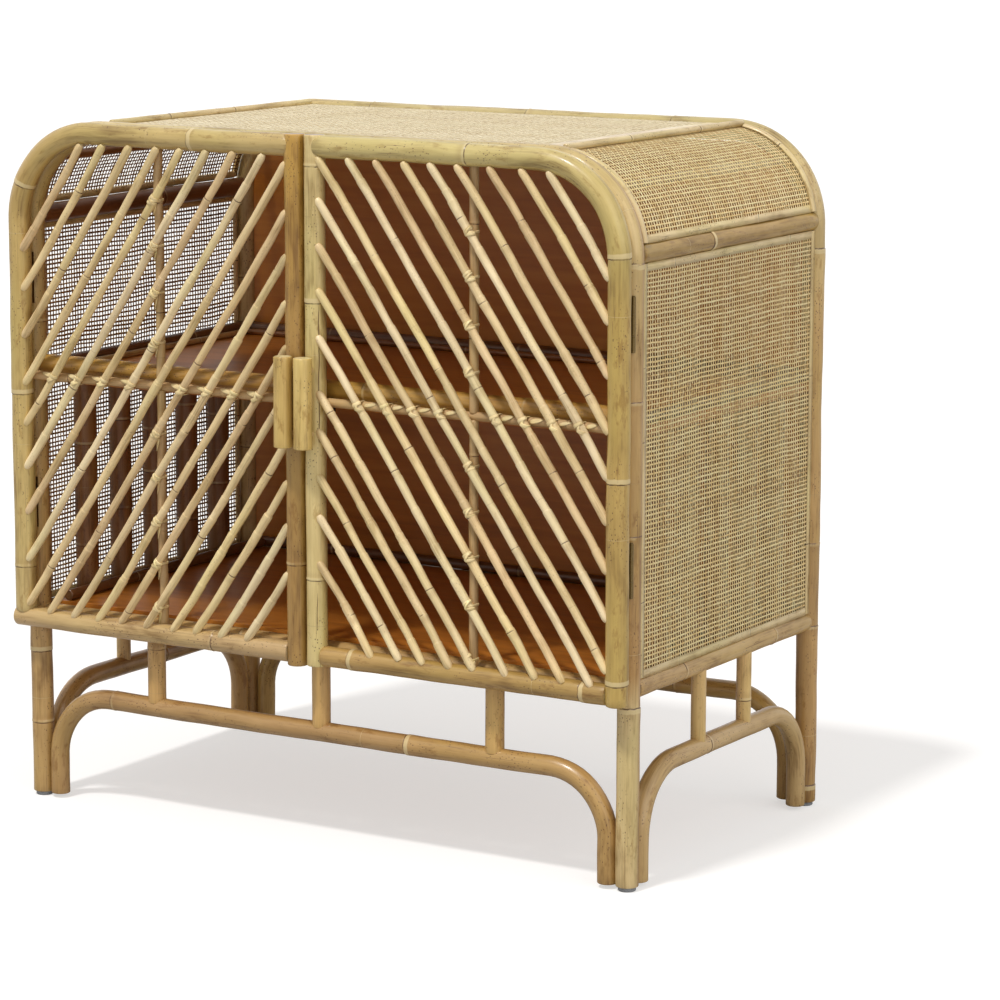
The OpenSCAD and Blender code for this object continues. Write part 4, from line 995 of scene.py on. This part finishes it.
for s, word in SIDES:
    body = word + "_door"
    rng = random.Random(500 + s)

    # Outer stile, bend and top rail in one pole, from the foot of the stile
    low = DOOR_RAIL_Z + 6.25 if s < 0 else DOOR_Z
    path = Path([0, 1, 0])
    path.line((s * POST_X, DOOR_Y, low), (s * POST_X, DOOR_Y, BEND_Z))
    path.arc((s * BEND_X, DOOR_Y, BEND_Z), (s * BEND_R, 0, 0), (0, 0, BEND_R))
    path.line((s * BEND_X, DOOR_Y, TOP_Z), (s * 17, DOOR_Y, TOP_Z))
    stile = BEND_Z - low
    bar = stile + QUARTER
    splits = []
    if s < 0:
        rings = [stile - 431]
        joints = [stile - 215, stile + 45, bar + 151]
        paint = [(0, (203, 178, 118)), (stile - 211, (199, 172, 105)), (stile, (194, 163, 97)),
                 (stile + 60, (190, 158, 97)), (bar, (189, 162, 102)), (bar + 290, (192, 166, 106))]
    else:
        rings = [bar + 88]
        joints = [25, stile - 251, stile + 3]
        splits = [(425, 447, 176, 0.8), (440, 466, 188, 0.7), (462, 490, 181, 0.8)]
        paint = [(0, (188, 155, 86)), (stile - 60, (191, 159, 86)), (stile + 40, (192, 168, 102)),
                 (bar, (203, 184, 119)), (bar + 290, (200, 180, 116))]
    pole_piece(word + "_outer_pole_piece", path, POLE_R, body, [word + "_door_outer_pole"], rings=rings,
               joints=joints, seed=200 + s, paint=paint, end_round=2.5, splits=splits)

    drop = 2.5 if s < 0 else 0
    path = rod((s * MEET_X, DOOR_Y, DOOR_Z - drop), (s * MEET_X, DOOR_Y, FRAME_H), side=(0, 1, 0))
    # The left meeting stile is painted darker and browner than the right one, partly as painted shade.
    if s < 0:
        look = {"seed": 202, "rings": [124],
                "paint": [(0, (168, 130, 70)), (360, (172, 134, 70)), (640, (198, 154, 70))]}
    else:
        look = {"seed": 204, "rings": [106, 597], "joints": [435],
                "paint": [(0, (210, 187, 126)), (640, (209, 186, 127))],
                "splits": [(262, 433, 230, 1.1), (40, 92, 215, 0.7)]}
    pole_piece(word + "_meeting_pole_piece", path, DOOR_POLE_R, body, [word + "_door_meeting_stile"],
               cut=(150, 118, 74), **look)

    end = 435.0 if s < 0 else 412.0
    path = rod((s * 24, DOOR_Y, DOOR_RAIL_Z), (s * end, DOOR_Y, DOOR_RAIL_Z), side=(0, 1, 0))
    pole_piece(word + "_bottom_pole_piece", path, DOOR_POLE_R, body, [word + "_door_bottom_rail"],
               rings=[111] if s < 0 else [], joints=[] if s < 0 else [38, 354], seed=206 + s,
               paint=(193, 161, 112) if s < 0 else (176, 141, 80))

    thin_x = THIN_X[s]
    path = rod((s * 24, THIN_Y, THIN_Z), (s * 412, THIN_Y, THIN_Z))
    pole_piece(word + "_thin_rail_piece", path, THIN_R, body, [word + "_door_thin_rail"], **STICK_LOOK,
               rings=[97, 238, 331], seed=209 + s, sides=14, swell=0.5, wobble=0.8, paint=(196, 162, 114))
    thin = Batch()
    for low_end, high_end, rings, seed in ((DOOR_RAIL_Z + 9, THIN_Z - 4, [120, 251], 212),
                                           (THIN_Z + 4, TOP_Z - 9, [88, 220], 215)):
        path = rod((s * thin_x, THIN_Y, low_end), (s * thin_x, THIN_Y, high_end))
        thin.pole(path, THIN_R, rings=rings, seed=seed + s, sides=14, swell=0.5, wobble=0.8,
                  paint=(190, 158, 112))
    thin.build(word + "_thin_pole_piece", body=body, replaced=[word + "_door_thin_pole"], **STICK_LOOK)

    # Slanting sticks: peeled, slightly crooked, with dark marks at their growth rings
    sticks = Batch()
    tops = []
    for k, off in enumerate(STICK_OFF[s]):
        even = DOOR_RAIL_Z + STICK_FIRST[s] + k * STICK_PITCH
        top = even + off
        tops.append((even, top))
        x0, x1 = stick_ends(top)
        lean = rng.uniform(-1.0, 1.0)
        a = np.array([s * x0, PEELED_Y - END_OUT, stick_at(top, x0) + lean])
        b = np.array([s * x1, PEELED_Y - END_OUT, stick_at(top, x1) - lean])
        length = np.linalg.norm(b - a)
        bow = min(45.0, length * 0.4)
        a_in = a + (b - a) * bow / length + Y_AXIS * END_OUT
        b_in = b - (b - a) * bow / length + Y_AXIS * END_OUT
        path = Path([0, 1, 0]).line(a, a_in).line(a_in, b_in).line(b_in, b)
        gap = rng.uniform(150, 290)
        first = rng.uniform(25, gap)
        rings = [first + gap * i * rng.uniform(0.93, 1.07) for i in range(6)]
        rings = [x for x in rings if 16 < x < path.length - 16]
        cuts = [rng.uniform(30, length - 30) for _ in range(2 + int(length / 150))]
        cuts = [x for x in cuts if 16 < x < path.length - 16]
        sticks.pole(path, PEELED_R * rng.uniform(0.92, 1.0), rings=rings, steps=cuts,
                    seed=300 + k + 40 * s, sides=12, swell=0.25, wobble=0.7, vary=0.04, end_round=0.5,
                    point=5.0, paint=rng.choice(STICK_PAINTS), cut=(236, 220, 178))
    sticks.build(word + "_slanting_sticks", body=body, replaced=[word + "_door_sticks"], **STICK_LOOK)

    # Lashings where the sticks cross the thin rail and the thin pole
    ties = Batch()
    crossings = []
    for even, top in tops:
        rail_x = STILE_IN_X + (even - THIN_Z) / STICK_M
        pole_z = stick_at(even, thin_x)
        clear = abs(rail_x - thin_x) > TIE_EDGE
        if STILE_IN_X + TIE_EDGE < rail_x < POST_X - POLE_R - TIE_EDGE and clear:
            crossings.append((STILE_IN_X + (top - THIN_Z) / STICK_M, THIN_Z, True))
        clear = abs(pole_z - THIN_Z) > TIE_EDGE * STICK_M
        if DOOR_RAIL_Z + DOOR_POLE_R + TIE_EDGE < pole_z < TOP_Z - POLE_R - TIE_EDGE and clear:
            crossings.append((thin_x, stick_at(top, thin_x), False))
    to_stile = np.array([s * 1.0, 0, 0])
    down = np.array([s * math.cos(math.radians(STICK_SLOPE)), 0, -math.sin(math.radians(STICK_SLOPE))])
    for index, (x, z, on_rail) in enumerate(crossings):
        centre = np.array([s * x, 0, z])
        for turn, (swing, slide, width) in enumerate(RAIL_TURNS if on_rail else POLE_TURNS):
            a = math.radians(swing + rng.uniform(-6, 6))
            wide = np.array([s * math.cos(a), 0, -math.sin(a)])
            across = np.array([s * math.sin(a), 0, math.cos(a)])
            spot = centre + down * (slide + rng.uniform(-1, 1))
            ties.add(*lashing_band(spot, wide, across, 0.4 + 0.5 * turn, width * rng.uniform(0.9, 1.1),
                                   700 + index * 3 + turn))
        axis, sideways = (to_stile, Z_AXIS) if on_rail else (Z_AXIS, to_stile)
        ties.add(*lashing_loop(centre, axis, sideways, 800 + index))
        along = axis if on_rail else -axis
        ties.add(*lashing_leaf(centre + along * 5, along, sideways, rng.uniform(13, 18), rng.uniform(5, 7),
                               900 + index))
    ties.build(word + "_lashings", body=body, replaced=[word + "_door_ties"], **STICK_LOOK)

    x = s * MEET_X
    path = rod((x, HANDLE_Y, HANDLE_Z - HANDLE_HALF), (x, HANDLE_Y, HANDLE_Z + HANDLE_HALF), side=(0, 1, 0))
    pole_piece(word + "_handle_piece", path, 11.4, body, [word + "_handle"], seed=218 + s, end_round=1.0,
               wobble=0.2, cut=(226, 208, 156), paint=(207, 174, 101) if s < 0 else (213, 184, 112))

# CAD nodes that keep their shape
FINISH = {MAT_BOARD: ["bottom_board", "shelf_board", "back_panel", "top_board"],
          MAT_BRASS: ["hinge_post_leaves", "hinge_pins", "left_hinge_door_leaves",
                      "right_hinge_door_leaves", "left_strike_plate", "right_strike_plate"],
          MAT_CATCH: ["magnet_catch"], MAT_GLIDE: ["foot_glides"],
          MAT_DOWEL: ["left_handle_dowels", "right_handle_dowels"]}
for material, names in FINISH.items():
    for name in names:
        nodes[name].data.materials.clear()
        nodes[name].data.materials.append(material)

# Camera at the photograph's viewing angle
FOCAL_PIXELS = 3756
TURN = 31.04
LOOK_DOWN = 10.11
ROLL = 0.16
cam_data = bpy.data.cameras.new("camera")
cam_data.sensor_width = 36
cam_data.sensor_fit = "HORIZONTAL"
cam_data.lens = FOCAL_PIXELS * 36 / 1000
cam_data.clip_end = 100
camera = add_object("camera", cam_data)
turn = Matrix.Rotation(math.radians(TURN), 4, "Z") @ Matrix.Rotation(math.radians(90 - LOOK_DOWN), 4, "X")
turn = turn @ Matrix.Rotation(math.radians(ROLL), 4, "Z")
camera.matrix_world = Matrix.Translation(Vector((2.456, -3.894 + 0.027, 1.199 + 0.005))) @ turn
bpy.context.scene.camera = camera

# Floor
floor_mesh = bpy.data.meshes.new("studio_floor")
floor_mesh.from_pydata([(-30, -30, 0), (30, -30, 0), (30, 30, 0), (-30, 30, 0)], [], [(0, 1, 2, 3)])
floor = add_object("studio_floor", floor_mesh)
m = Shader("pale_floor")
m.fill(m.bsdf, {"Base Color": (0.5, 0.5, 0.5, 1), "Roughness": 0.9, "Specular IOR Level": 0.0})
seen = m.times(m.node("ShaderNodeLightPath").outputs["Is Camera Ray"], 0.57)
glow = m.node("ShaderNodeEmission", {"Color": (1, 0.985, 0.965, 1), "Strength": seen})
both = m.node("ShaderNodeAddShader", {0: m.bsdf.outputs[0], 1: glow.outputs[0]})
m.fill(m.tree.nodes["Material Output"], {"Surface": both.outputs[0]})
floor_mesh.materials.append(m.block)

# World and lamps
w = Shader("studio", bpy.data.worlds)
bpy.context.scene.world = w.block
rays = w.node("ShaderNodeLightPath").outputs
straight = w.math("MAXIMUM", rays["Is Camera Ray"], rays["Is Glossy Ray"])
level = w.node("ShaderNodeMapRange", {"Value": straight, "To Min": 0.44, "To Max": 1.0})
w.fill(w.tree.nodes["Background"], {"Color": (1, 1, 1, 1), "Strength": level.outputs["Result"]})

for name, energy, angle, aim in (("key", 2.0, 6, (0.09, 0.47, -1.0)),
                                 ("fill", 0.9, 60, (-0.85, 0.25, -0.45))):
    sun = bpy.data.lights.new(name, "SUN")
    sun.energy = energy
    sun.angle = math.radians(angle)
    sun.color = (1.0, 0.98, 0.95)
    lamp = add_object(name, sun)
    lamp.rotation_euler = Vector(aim).to_track_quat("-Z", "Y").to_euler()

bpy.context.scene.view_settings.view_transform = "Standard"
